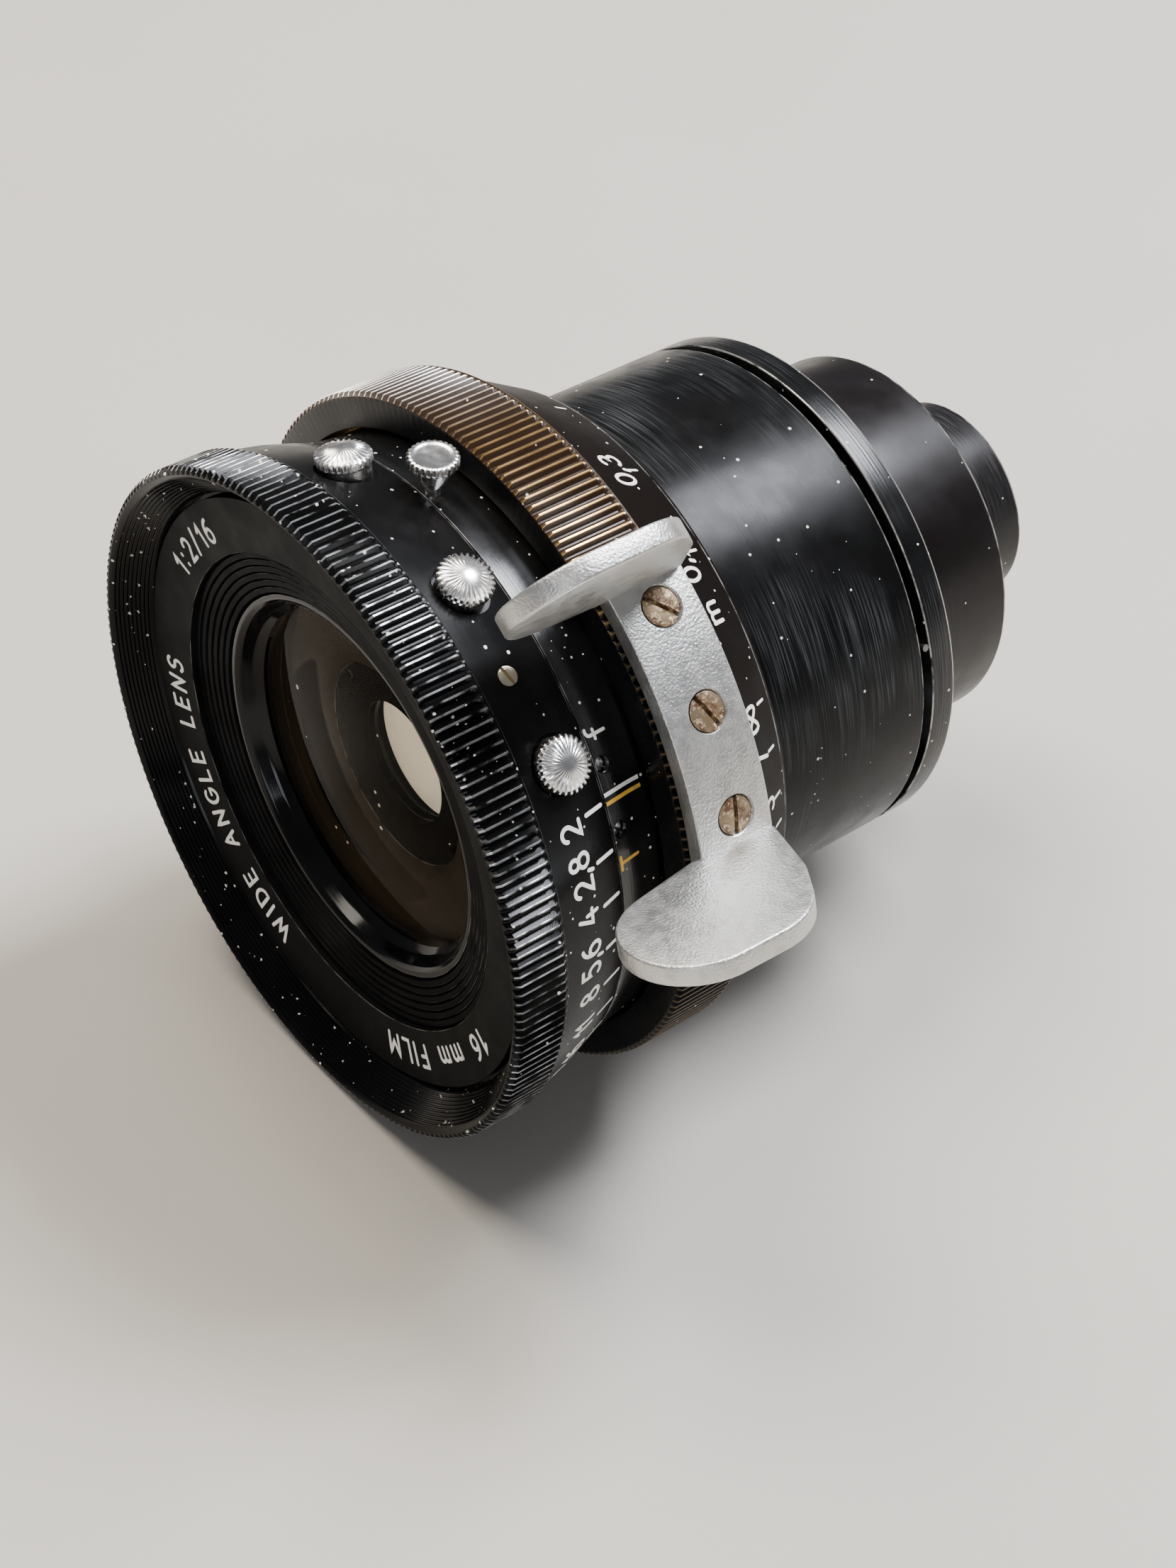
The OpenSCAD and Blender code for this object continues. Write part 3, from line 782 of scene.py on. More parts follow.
def glyphs() -> dict[str, tuple[float, list[list[Point]]]]:
    """Gives the engraver's characters: a width and the tool's strokes, for a height of 1."""
    loop = [
        (0.55 + 0.52 * math.sin(t), 0.5 + 0.62 * math.sin(t) * math.cos(t))
        for t in (2 * math.pi * k / 28 for k in range(29))
    ]
    return {
        "0": (0.6, [arc(0.3, 0.5, 0.28, 0.5, 90, 450, 24)]),
        "1": (0.32, [[(0.02, 0.72), (0.26, 1.0), (0.26, 0.0)]]),
        "2": (0.6, [arc(0.3, 0.71, 0.27, 0.29, 165, -35) + [(0.02, 0.0), (0.6, 0.0)]]),
        "3": (0.58, [arc(0.27, 0.76, 0.24, 0.24, 150, -80) + arc(0.27, 0.27, 0.29, 0.27, 80, -150)]),
        "4": (0.66, [[(0.36, 1.0), (0.02, 0.3), (0.64, 0.3)], [(0.44, 0.58), (0.44, 0.0)]]),
        "5": (0.6, [[(0.54, 1.0), (0.14, 1.0), (0.08, 0.56)] + arc(0.27, 0.32, 0.3, 0.32, 110, -140)]),
        "6": (0.6, [arc(0.6, 0.36, 0.58, 0.64, 100, 180) + arc(0.3, 0.3, 0.28, 0.3, 180, 540, 20)]),
        "7": (0.58, [[(0.0, 1.0), (0.56, 1.0), (0.2, 0.0)]]),
        "8": (0.6, [arc(0.3, 0.77, 0.22, 0.23, -90, 270, 20), arc(0.3, 0.27, 0.28, 0.27, 90, 450, 20)]),
        ",": (0.16, [[(0.1, 0.1), (0.02, -0.14)]]),
        ":": (0.2, [[(0.1, 0.62), (0.1, 0.68)], [(0.1, 0.1), (0.1, 0.16)]]),
        "/": (0.44, [[(0.0, -0.05), (0.42, 1.05)]]),
        " ": (0.5, []),
        "f": (0.42, [arc(0.44, 0.8, 0.22, 0.2, 70, 180) + [(0.22, 0.0)], [(0.02, 0.58), (0.42, 0.58)]]),
        "T": (0.6, [[(0.0, 1.0), (0.6, 1.0)], [(0.3, 1.0), (0.3, 0.0)]]),
        "m": (0.86, [
            [(0.02, 0.0), (0.02, 0.62)],
            arc(0.22, 0.42, 0.2, 0.2, 180, 0) + [(0.42, 0.0)],
            arc(0.63, 0.42, 0.21, 0.2, 180, 0) + [(0.84, 0.0)],
        ]),
        "~": (1.1, [loop]),
        "A": (0.7, [[(0.0, 0.0), (0.34, 1.0), (0.68, 0.0)], [(0.13, 0.36), (0.55, 0.36)]]),
        "D": (0.64, [
            [(0.02, 0.0), (0.02, 1.0), (0.2, 1.0)] + arc(0.2, 0.5, 0.42, 0.5, 80, -80) + [(0.02, 0.0)],
        ]),
        "E": (0.52, [[(0.5, 1.0), (0.02, 1.0), (0.02, 0.0), (0.52, 0.0)], [(0.02, 0.52), (0.42, 0.52)]]),
        "F": (0.5, [[(0.5, 1.0), (0.02, 1.0), (0.02, 0.0)], [(0.02, 0.52), (0.42, 0.52)]]),
        "G": (0.7, [arc(0.36, 0.5, 0.34, 0.5, 50, 310) + [(0.68, 0.3), (0.68, 0.48), (0.42, 0.48)]]),
        "I": (0.1, [[(0.05, 0.0), (0.05, 1.0)]]),
        "L": (0.5, [[(0.02, 1.0), (0.02, 0.0), (0.5, 0.0)]]),
        "M": (0.74, [[(0.02, 0.0), (0.02, 1.0), (0.37, 0.35), (0.72, 1.0), (0.72, 0.0)]]),
        "N": (0.62, [[(0.02, 0.0), (0.02, 1.0), (0.6, 0.0), (0.6, 1.0)]]),
        "S": (0.58, [arc(0.29, 0.76, 0.25, 0.24, 35, 250) + arc(0.29, 0.27, 0.27, 0.27, 70, -145)]),
        "W": (0.94, [[(0.0, 1.0), (0.22, 0.0), (0.46, 0.8), (0.7, 0.0), (0.92, 1.0)]]),
    }


GLYPHS = glyphs()


@dataclass(frozen=True)
class ScaleBand:
    """A turned outer face that carries engraving; the characters' tops point to the front."""

    profile: tuple[Point, ...]

    def placer(self, s: float, angle: float) -> Placer:
        """Gives the placing function of a mark.

        Args:
            s: Station of the mark's own origin.
            angle: Angle of its origin, in degrees.

        Returns:
            A function of distance round, distance to the front and lift, all in mm.
        """
        radius = between(s, self.profile)

        def place(u: float, v: float, lift: float) -> Vector:
            station = s - v
            height = between(station, self.profile) + lift
            return lens_point(station, height, angle + math.degrees(u / radius))

        return place


@dataclass(frozen=True)
class FrontFace:
    """A turned face that looks to the front; the characters' tops point outward."""

    profile: tuple[Point, ...]

    def placer(self, r: float, angle: float) -> Placer:
        """Gives the placing function of a mark whose origin is at a radius and an angle."""

        def place(u: float, v: float, lift: float) -> Vector:
            return lens_point(between(r + v, self.profile) - lift, r + v, angle - math.degrees(u / r))

        return place


@dataclass
class Engraver:
    """Cuts strokes into a face and fills them with paint that stands a little proud, as one mesh."""

    width: float
    proud: float = 0.012
    deep: float = 0.05
    points: list[Vector] = field(default_factory=list)
    faces: list[tuple[int, ...]] = field(default_factory=list)

    def stroke(
        self, path: Sequence[Point], place: Placer, half: float | None = None, round_ends: bool = True
    ) -> None:
        """Adds one stroke.

        Args:
            path: Points of its middle line, in mm on the face.
            place: The face's placing function.
            half: Half its width, if it isn't the engraver's own.
            round_ends: Whether the stroke ends in a half circle.
        """
        half = half or self.width / 2
        line = self.subdivided(path)
        left, right = [], []
        for i, p in enumerate(line):
            back = (line[i] - line[max(i - 1, 0)]).normalized()
            on = (line[min(i + 1, len(line) - 1)] - line[i]).normalized()
            way = (back + on).normalized()
            side = Vector((-way.y, way.x)) * half / max(0.6, way.dot(on or back) or 1)
            left.append(p + side)
            right.append(p - side)
        caps = [self.cap(line[-1], line[-1] - line[-2], half), self.cap(line[0], line[0] - line[1], half)]
        if not round_ends:
            caps = [[], []]
        n = len(line)
        outline = left + caps[0] + right[::-1] + caps[1]
        m, base = len(outline), len(self.points)
        for lift in (self.proud, -self.deep):
            self.points += [place(p.x, p.y, lift) for p in outline]
        turn_back = n + len(caps[0])
        tops = [(i, i + 1, turn_back + n - 2 - i, turn_back + n - 1 - i) for i in range(n - 1)]
        if round_ends:
            tops.append(tuple(range(n - 1, turn_back + 1)))
            tops.append(tuple(range(turn_back + n - 1, m)) + (0,))
        self.faces += [tuple(base + k for k in face) for face in tops]
        self.faces += [tuple(base + m + k for k in reversed(face)) for face in tops]
        pairs = [(base + k, base + (k + 1) % m) for k in range(m)]
        self.faces += [(a, b, b + m, a + m) for a, b in pairs]

    @staticmethod
    def cap(end: Vector, way: Vector, half: float) -> list[Vector]:
        """Gives the points of a half circle round a stroke's end, from its left to its right."""
        start = math.atan2(way.y, way.x) + math.pi / 2
        turns = [start - math.pi * k / 5 for k in range(1, 5)]
        return [end + Vector((math.cos(t), math.sin(t))) * half for t in turns]

    @staticmethod
    def subdivided(path: Sequence[Point], step: float = 0.35) -> list[Vector]:
        """Gives a path with no stretch longer than step mm."""
        line = [Vector(path[0])]
        for p in path[1:]:
            goal, start = Vector(p), line[-1].copy()
            count = max(1, math.ceil((goal - start).length / step))
            if (goal - start).length > 1e-6:
                line += [start.lerp(goal, k / count) for k in range(1, count + 1)]
        return line

    def text(self, words: str, place: Placer, height: float, gap: float = 0.2) -> None:
        """Adds a line of characters.

        Args:
            words: The characters.
            place: The face's placing function, whose origin is the middle of the line.
            height: Height of a digit, in mm.
            gap: Space between characters, as a share of the height.
        """
        letters = [GLYPHS[c] for c in words]
        x = -(sum(wide for wide, _ in letters) + gap * (len(words) - 1)) * height / 2
        for wide, paths in letters:
            for path in paths:
                self.stroke([(x + px * height, (py - 0.5) * height) for px, py in path], place)
            x += (wide + gap) * height

    def dot(self, place: Placer, radius: float) -> None:
        """Adds a round dot at a face's origin."""
        self.stroke([(-0.01, 0.0), (0.01, 0.0)], place, radius)

    def piece(self, name: str) -> bpy.types.Object:
        """Gives all the strokes as one object."""
        return solid(name, self.points, self.faces, sharp_deg=50)


# ---------------------------------------------------------------- sub-assemblies


@dataclass
class Screw:
    """A slotted screw that stands on a radius of the lens."""

    name: str
    angle: float
    s: float
    top: float
    head_r: float
    shank_r: float
    low: float
    head_depth: float
    slot_width: float
    slot_turn: float
    dome: float = 0.12
    slot_depth: float = 0.4

    def build(self, body: str, finish: Finish, slot: str) -> bpy.types.Object:
        """Turns the screw, cuts its slot and dresses it.

        Args:
            body: The CAD body that it rides on.
            finish: Its finish.
            slot: The record's material slot.

        Returns:
            The screw.
        """
        edge = self.top - self.dome
        corners = [
            Corner(self.low, 0), Corner(self.low, self.shank_r),
            Corner(edge - self.head_depth, self.shank_r),
            Corner(edge, self.head_r, 0.08), Corner(self.top - self.dome * 0.25, self.head_r * 0.6, 0.3),
            Corner(self.top, 0),
        ]
        piece = turned(self.name, corners, Spin.RADIAL, 64)
        cut(piece, [slot_tool(self.slot_width, self.top, self.slot_depth, self.slot_turn)])
        piece.matrix_world = radial_frame(self.angle, self.s)
        return dress(piece, body, finish, slot, self.name)


@dataclass
class ApertureRing:
    """The knurled front ring with its f-stop scale, three thumb studs and set screw."""

    body: str = "aperture_ring"
    slot: str = "black_anodised_satin"
    outer_r: float = 26.46
    depth: float = 4.48
    teeth: int = 210
    tooth: float = 0.34
    flare_ridges: int = 9
    cone: tuple[Point, ...] = ((4.52, 26.05), (7.2, 25.5), (9.0, 24.95), (10.7, 24.4))
    stud_angles: tuple[float, ...] = (34.4, 64.5, 95.4)
    stud_s: float = 7.55
    set_screw: Point = (49.4, 7.0)
    stops: tuple[tuple[str, float, float], ...] = (
        ("2", 24.9, 24.0), ("2,8", 16.8, 16.7), ("4", 8.9, 9.2), ("5,6", 0.4, 0.7),
        ("8", -7.7, -7.1), ("11", -15.9, -15.2), ("16", -24.0, -23.2), ("22", -32.2, -31.3),
    )

    def build(self) -> None:
        """Builds every piece of the ring."""
        self.grip()
        self.scale()
        self.studs()
        self.engraving()
        angle, s = self.set_screw
        screw = Screw("scale_set_screw", angle, s, 25.5, 0.74, 0.72, 24.25, 0.3, 0.22, 15, 0.06)
        screw.build(self.body, Finish.PALE_BRASS, "brass")
        keep("iris_drive_pin", Finish.STEEL)
        keep("iris_cam_ring", Finish.INNER_BLACK)

    def grip(self) -> bpy.types.Object:
        """Builds the knurled ring, with fine thread-like ridges on the flare inside it."""
        flare_in, flare_out = (2.5, 23.75), (0.25, 25.5)
        ridges = []
        for k in range(self.flare_ridges):
            for t, drop in ((0.15, 0.09), (0.55, 0.09), (0.75, 0.0), (1.0, 0.0)):
                share = (k + t) / self.flare_ridges
                s = flare_in[0] + (flare_out[0] - flare_in[0]) * share
                r = flare_in[1] + (flare_out[1] - flare_in[1]) * share
                ridges.append(Corner(s + drop, r + drop))
        corners = [
            Corner(0.0, 25.86, 0.05, 0.0, 0.5), Corner(0.05, 26.2, 0, self.tooth, 1.0),
            Corner(0.4, self.outer_r, 0, self.tooth), Corner(3.95, self.outer_r, 0, self.tooth),
            Corner(4.2, self.outer_r - 0.22, 0, 0.1), Corner(self.depth, 26.14, 0.1, 0, 1.0),
            Corner(self.depth, 23.62), Corner(2.75, 23.62), Corner(2.5, 23.75),
        ] + ridges
        piece = turned("aperture_grip", corners, teeth=Teeth(self.teeth, 0.14, 0.16), sharp_deg=24)
        return dress(piece, self.body, Finish.FRONT_KNURL, self.slot, "aperture_grip_ring")

    def scale(self) -> bpy.types.Object:
        """Builds the scale cone, with a spot face under each stud and a hole for the set screw."""
        end, bore = self.cone[-1][0], 22.56
        corners = [
            Corner(3.6, bore), Corner(3.6, 23.6), Corner(4.52, 23.6), Corner(*self.cone[0]),
            Corner(*self.cone[1]), Corner(*self.cone[2]), Corner(*self.cone[3], 0.12, 0, 0.5),
            Corner(end, bore),
        ]
        piece = turned("aperture_scale", corners)
        tools = [drill("spot_face", a, self.stud_s, 2.15, 24.7, 27) for a in self.stud_angles]
        tools.append(drill("screw_hole", *self.set_screw, 0.8, 24.2, 27))
        return dress(cut(piece, tools), self.body, Finish.SCALE_BLACK, self.slot, "aperture_scale_ring")

    def studs(self) -> None:
        """Builds the three serrated thumb studs."""
        for k, angle in enumerate(self.stud_angles):
            corners = [
                Corner(23.2, 0), Corner(23.2, 0.95), Corner(24.7, 0.95), Corner(24.7, 1.85),
                Corner(26.0, 1.85), Corner(26.12, 1.96, 0, 0.1), Corner(26.2, 2.02, 0, 0.24),
                Corner(26.62, 2.02, 0, 0.24), Corner(26.72, 1.92, 0, 0.26), Corner(26.78, 1.82, 0, 0.26),
                Corner(27.08, 0.95, 0, 0.1), Corner(27.2, 0.4), Corner(27.23, 0),
            ]
            name = f"thumb_stud_{k + 1}"
            piece = turned(name + "_turned", corners, Spin.RADIAL, teeth=Teeth(28, 0.3, 0.3), sharp_deg=28)
            piece.matrix_world = radial_frame(angle, self.stud_s)
            dress(piece, self.body, Finish.NICKEL, "bright_nickel", name)

    def engraving(self) -> None:
        """Engraves the f-stops and the two index dots."""
        band, paint = ScaleBand(self.cone), Engraver(0.3)
        for label, tick, angle in self.stops:
            paint.stroke([(0, 0.8), (0, -0.8)], band.placer(9.45, tick), 0.15)
            paint.text(label, band.placer(6.95, angle), 1.8, 0.17)
        for s, angle in ((6.5, 54.6), (8.0, 52.6)):
            paint.dot(band.placer(s, angle), 0.13)
        dress(paint.piece("f_stop_scale_paint"), self.body, Finish.WHITE, self.slot)


@dataclass
class FocusRing:
    """The knurled focusing ring with its distance scale, and the strap with two finger ears."""

    body: str = "focus_ring"
    slot: str = "black_anodised_satin"
    outer_r: float = 26.82
    front: float = 14.6
    grip_end: float = 20.8
    teeth: int = 210
    tooth: float = 0.36
    cone: tuple[Point, ...] = ((20.8, 26.25), (26.5, 23.16), (26.79, 22.99))
    ear_angles: Point = (13.4, 52.2)
    ear_t: float = 1.6
    screw_angles: tuple[float, ...] = (17.2, 32.8, 48.4)
    screw_turns: tuple[float, ...] = (-8.0, 25.0, 43.0)
    screw_s: float = 18.2
    infinity_deg: float = 27.5
    # Label, and how far the ring turns from infinity to reach it, in degrees
    distances: tuple[tuple[str, float], ...] = (
        ("7", 8.6), ("3", 17.6), ("", 23.5), ("2", 34.0), ("1,5", 52.0), ("1", 82.0), ("0,8", 112.0),
        ("0,6", 158.0), ("0,5", 200.0), ("0,4", 252.0), ("", 294.4), ("0,3", 314.4), ("0,25", 332.1),
    )

    def build(self) -> None:
        """Builds every piece of the ring."""
        self.grip()
        self.scale()
        self.strap()
        for k, (angle, turn) in enumerate(zip(self.screw_angles, self.screw_turns)):
            name = f"strap_screw_{k + 1}"
            screw = Screw(name, angle, self.screw_s, 28.3, 1.42, 0.84, 25.1, 0.66, 0.34, turn)
            screw.build(self.body, Finish.RUST, "rusty_steel")
        self.engraving()
        keep("focus_helicoid_ring", Finish.BRASS)
        keep("focus_stop_screw", Finish.STEEL)

    def grip(self) -> bpy.types.Object:
        """Builds the knurled grip."""
        corners = [
            Corner(self.front, 24.1, 0.1, 0, 0.3), Corner(self.front, 26.3),
            Corner(self.front + 0.06, 26.52, 0, 0.1), Corner(self.front + 0.3, self.outer_r, 0, self.tooth),
            Corner(20.35, self.outer_r, 0, self.tooth), Corner(20.55, self.outer_r - 0.1, 0, 0.1),
            Corner(self.grip_end, self.outer_r - 0.1, 0.1, 0, 1.0), Corner(self.grip_end, 24.5),
            Corner(17.2, 24.5), Corner(17.2, 24.1),
        ]
        piece = turned("focus_grip", corners, teeth=Teeth(self.teeth, 0.14, 0.16), sharp_deg=24)
        tools = [drill("screw_hole", a, self.screw_s, 0.86, 25, 28) for a in self.screw_angles]
        return dress(cut(piece, tools), self.body, Finish.FOCUS_KNURL, "worn_grip", "focus_grip_ring")

    def scale(self) -> bpy.types.Object:
        """Builds the cone that carries the distance scale."""
        corners = [
            Corner(20.8, 24.45), Corner(20.8, 26.25, 0.06), Corner(26.5, 23.16, 0.1, 0, 0.4),
            Corner(26.79, 22.99), Corner(26.79, 20.26), Corner(25.1, 20.26), Corner(25.1, 22.3),
            Corner(22.42, 22.3), Corner(22.42, 24.45),
        ]
        piece = turned("distance_scale", corners)
        return dress(piece, self.body, Finish.DISTANCE_BLACK, self.slot, "distance_scale_ring")

    def ear_outline(self) -> list[Vector]:
        """Gives an ear's rounded outline as (station, height above the strap)."""
        rounds = ((9.6, 5.85, 5.25), (13.0, 6.1, 5.1), (15.5, 4.4, 3.9))
        points = [p for x, y, r in rounds for p in arc(x, y, r, r, 0, 352, 44)]
        points += [(17.0, -0.6), (20.9, -0.6), (20.9, 0.8)]
        return [Vector(points[k]) for k in convex_hull_2d([Vector(p) for p in points])]

    def ear(self, angle: float, side: int) -> bpy.types.Object:
        """Builds one ear as a flat plate with eased edges, standing on a radius.

        Args:
            angle: Angle of the face that looks at the other ear.
            side: 1 if its thickness goes up round the lens, -1 if down.

        Returns:
            The plate.
        """
        outline, ease = self.ear_outline(), 0.22
        n = len(outline)
        centre = sum(outline, Vector((0, 0))) / n
        steps = [(0.0, 1.0), (0.08, 0.62), (0.3, 0.3), (0.62, 0.08), (1.0, 0.0)]
        layers = [(ease * w, ease * i, worn_at(i)) for w, i in steps]
        layers += [(self.ear_t - w, i, worn) for w, i, worn in reversed(layers)]
        points, worn = [], []
        foot = radial_frame(angle, 0, 28.0)
        for depth, inset, wear in layers:
            for p in outline:
                q = p + (centre - p).normalized() * inset
                points.append(foot @ (Vector((side * depth, -q.x, q.y)) * MM))
                worn.append(wear)
        m = len(layers)
        faces = [(i * n + j, i * n + (j + 1) % n, (i + 1) * n + (j + 1) % n, (i + 1) * n + j)
                 for i in range(m - 1) for j in range(n)]
        faces += [tuple(range(n)), tuple(range((m - 1) * n, m * n))]
        return solid("ear", points, faces, worn)

    def strap(self) -> bpy.types.Object:
        """Builds the bent strap with both ears, and countersinks it for its screws."""
        low, high = self.ear_angles
        tilt = math.degrees(self.ear_t / 28)
        start, end, steps, ease = low - tilt, high + tilt, 80, 0.14
        rim = ((14.8, 26.9), (14.8, 28.3), (21.1, 28.3), (21.1, 26.9))
        section = eased([Corner(s, r, ease) for s, r in rim])
        n = len(section)
        points = [
            lens_point(c.s, c.r, start + (end - start) * k / steps)
            for k in range(steps + 1)
            for c in section
        ]
        faces = [(k * n + j, k * n + (j + 1) % n, (k + 1) * n + (j + 1) % n, (k + 1) * n + j)
                 for k in range(steps) for j in range(n)]
        faces += [tuple(range(n)), tuple(range(steps * n, (steps + 1) * n))]
        piece = solid("finger_strap_bent", points, faces)
        cut(piece, [self.ear(low, -1), self.ear(high, 1)], Joining.WELD)
        tools = []
        for angle in self.screw_angles:
            tools.append(drill("hole", angle, self.screw_s, 0.9, 26, 29))
            tools.append(drill("sink", angle, self.screw_s, 0.92, 27.3, 28.5, 1.72))
        return dress(cut(piece, tools), self.body, Finish.BLASTED, "satin_aluminium", "finger_strap")

    def engraving(self) -> None:
        """Engraves the distance scale in metres."""
        band, paint = ScaleBand(self.cone), Engraver(0.29)
        for label, turn in (("~", 0.0),) + self.distances:
            angle = self.infinity_deg - turn
            paint.stroke([(0, 0.4), (0, -0.4)], band.placer(25.3, angle), 0.11)
            paint.text(label, band.placer(23.75, angle - (1.5 if label == "~" else 0)), 1.75, 0.18)
        paint.text("m", band.placer(23.75, 44.5), 1.75)
        dress(paint.piece("distance_scale_paint"), self.body, Finish.WHITE, self.slot)


def worn_at(inset: float) -> float:
    """Gives the worn share of a plate's rounded edge, most at the middle of the rounding."""
    return 1.0 if 0 < inset < 0.9 else 0.0


@dataclass
class OpticalBlock:
    """The front cell, the index sleeve, the glass and the rear tubes, which slide together to focus."""

    body: str = "optical_block"
    slot: str = "black_anodised_satin"
    sleeve: tuple[Point, ...] = ((10.8, 24.34), (13.0, 23.92), (14.8, 23.78), (17.0, 23.78))
    name_face: tuple[Point, ...] = ((18.95, 3.0), (23.3, 2.5))
    index_s: float = 10.85
    index_end: float = 14.1
    grub_s: float = 11.5
    grub_angles: Point = (30.5, 19.0)
    knob_angle: float = 85.0
    knob_s: float = 11.6
    # glass nodes drawn as a glowing pale disc, which is painted light
    lit_nodes: tuple[str, ...] = ("middle_element",)
    inner_nodes: tuple[str, ...] = ("front_cell", "iris_pivot_plate", "lens_spacer")

    def build(self) -> None:
        """Builds every piece of the block."""
        self.name_ring()
        self.baffle()
        self.front_glass()
        self.cone_baffle()
        self.index_sleeve()
        self.knob()
        self.rear()
        for node in self.inner_nodes:
            keep(node, Finish.INNER_BLACK)
        # painted light: the middle element glows in place of the room's light behind the lens
        for node in self.lit_nodes:
            keep(node, Finish.LIT_GLASS)
        keep("rear_doublet", Finish.CLEAR_GLASS)
        keep("moving_helicoid", Finish.BRASS)

    def name_ring(self) -> None:
        """Builds the name ring, lettered only with what any such lens says."""
        corners = [
            Corner(2.5, 23.3, 0.05), Corner(3.0, 18.95, 0.05, 0, 0.3), Corner(3.55, 18.95),
            Corner(3.55, 23.3),
        ]
        piece = turned("name_ring_turned", corners)
        dress(piece, self.body, Finish.NAME_BLACK, "matte_black", "name_ring")
        face, paint = FrontFace(self.name_face), Engraver(0.3)
        for words, middle in (("WIDE ANGLE LENS", 214.0), ("1:2/16", 140.0), ("16 mm FILM", 309.0)):
            paint.text(words, face.placer(21.1, middle), 1.75, 0.42)
        dress(paint.piece("name_ring_paint"), self.body, Finish.WHITE, "matte_black")

    def baffle(self) -> None:
        """Builds the stepped baffle and the polished ring that holds the front glass."""
        steps, outer, inner, rise = 6, 18.85, 15.35, 0.14
        tread = (outer - inner) / steps
        corners = []
        for k in range(steps):
            s, r = 3.45 + rise * k, outer - tread * k
            corners += [Corner(s, r - 0.05, 0.03, 0, 0.25), Corner(s + 0.02, r - tread + 0.12, 0.02),
                        Corner(s + 0.3, r - tread + 0.02)]
        corners += [Corner(4.9, inner), Corner(4.9, 18.2), Corner(3.9, 18.2)]
        piece = turned("stepped_baffle_turned", corners)
        dress(piece, self.body, Finish.STEP_BLACK, "matte_black", "stepped_baffle")
        corners = [
            Corner(4.33, 15.25, 0.05, 0, 0.6), Corner(4.33, 14.9, 0.1), Corner(4.6, 14.5, 0.1),
            Corner(5.6, 14.1, 0.2), Corner(6.1, 13.55), Corner(6.18, 13.55), Corner(6.18, 15.25),
        ]
        piece = turned("glass_ring_turned", corners)
        dress(piece, self.body, Finish.RING_BLACK, self.slot, "front_retaining_ring")

    def front_glass(self) -> None:
        """Builds the front meniscus, ground round on both faces."""
        front_r, back_r, edge, rings = 60.0, 40.0, 13.85, 24
        reach = [edge * k / rings for k in range(rings + 1)]
        front = [Corner(4.7 + front_r - math.sqrt(front_r**2 - r * r), r) for r in reach]
        back = [Corner(min(6.3 + back_r - math.sqrt(back_r**2 - r * r), 7.6), r) for r in reach]
        piece = turned("front_glass_ground", front + back[::-1], segments=192, sharp_deg=40)
        piece.visible_shadow = False  # a coated glass lets nearly all the light through
        dress(piece, self.body, Finish.FRONT_GLASS, "coated_glass", "front_element")

    def cone_baffle(self) -> None:
        """Builds the cone behind the front glass, whose rounded lip catches the light round the iris."""
        corners = [
            Corner(7.62, 13.9), Corner(7.62, 13.2), Corner(8.35, 8.6, 0.1), Corner(9.3, 8.15, 0.12, 0, 0.8),
            Corner(9.3, 8.45), Corner(8.58, 8.8), Corner(8.58, 13.9),
        ]
        piece = turned("conical_baffle_turned", corners)
        dress(piece, self.body, Finish.CONE_BLACK, "matte_black", "conical_baffle")

    def index_sleeve(self) -> None:
        """Builds the index sleeve with its two lines, its letters and its grub screws."""
        (s0, r0), (s1, r1), (s2, r2), (s3, r3) = self.sleeve
        corners = [
            Corner(s0, 22.5), Corner(s0, r0, 0.08, 0, 0.3), Corner(s1, r1, 0.3), Corner(s2, r2),
            Corner(s3, r3), Corner(s3, 22.5),
        ]
        tools = [drill("hole", a, self.grub_s, 0.62, 22, 26) for a in self.grub_angles]
        tools.append(drill("hole", self.knob_angle, self.knob_s, 0.57, 22, 26))
        piece = cut(turned("index_sleeve_turned", corners), tools)
        dress(piece, self.body, Finish.SLEEVE_BLACK, self.slot, "index_sleeve")
        for k, angle in enumerate(self.grub_angles):
            name = f"index_grub_screw_{k + 1}"
            screw = Screw(name, angle, self.grub_s, 23.55, 0.59, 0.59, 22.5, 0.2, 0.2, 40 * k, 0.04)
            screw.build(self.body, Finish.NICKEL, "plain_steel")
        band = ScaleBand(self.sleeve)
        for name, finish, angle, letter, place in (
            ("f_index_paint", Finish.WHITE, 25.7, "f", 35.5),
            ("t_index_paint", Finish.YELLOW, 24.2, "T", 13.3),
        ):
            paint = Engraver(0.24)
            middle = (self.index_s + self.index_end) / 2
            half = (self.index_end - self.index_s) / 2
            paint.stroke([(0, half), (0, -half)], band.placer(middle, angle), 0.14, round_ends=False)
            paint.text(letter, band.placer(11.85, place), 1.65)
            dress(paint.piece(name), self.body, finish, self.slot)

    def knob(self) -> None:
        """Builds the tapered knob that stands on the sleeve."""
        corners = [
            Corner(22.5, 0), Corner(22.5, 0.55), Corner(24.85, 0.55), Corner(24.95, 0.68, 0.05),
            Corner(26.6, 1.62), Corner(26.72, 1.74, 0, 0.06), Corner(26.78, 1.84, 0, 0.2),
            Corner(27.25, 1.84, 0, 0.2), Corner(27.36, 1.74, 0, 0.08), Corner(27.42, 1.6, 0, 0.1),
            Corner(27.42, 1.42, 0.05), Corner(27.34, 1.2, 0.1), Corner(27.3, 0),
        ]
        piece = turned("sleeve_knob_turned", corners, Spin.RADIAL, teeth=Teeth(26, 0.3, 0.3), sharp_deg=28)
        piece.matrix_world = radial_frame(self.knob_angle, self.knob_s)
        dress(piece, self.body, Finish.NICKEL, "bright_nickel", "sleeve_knob")

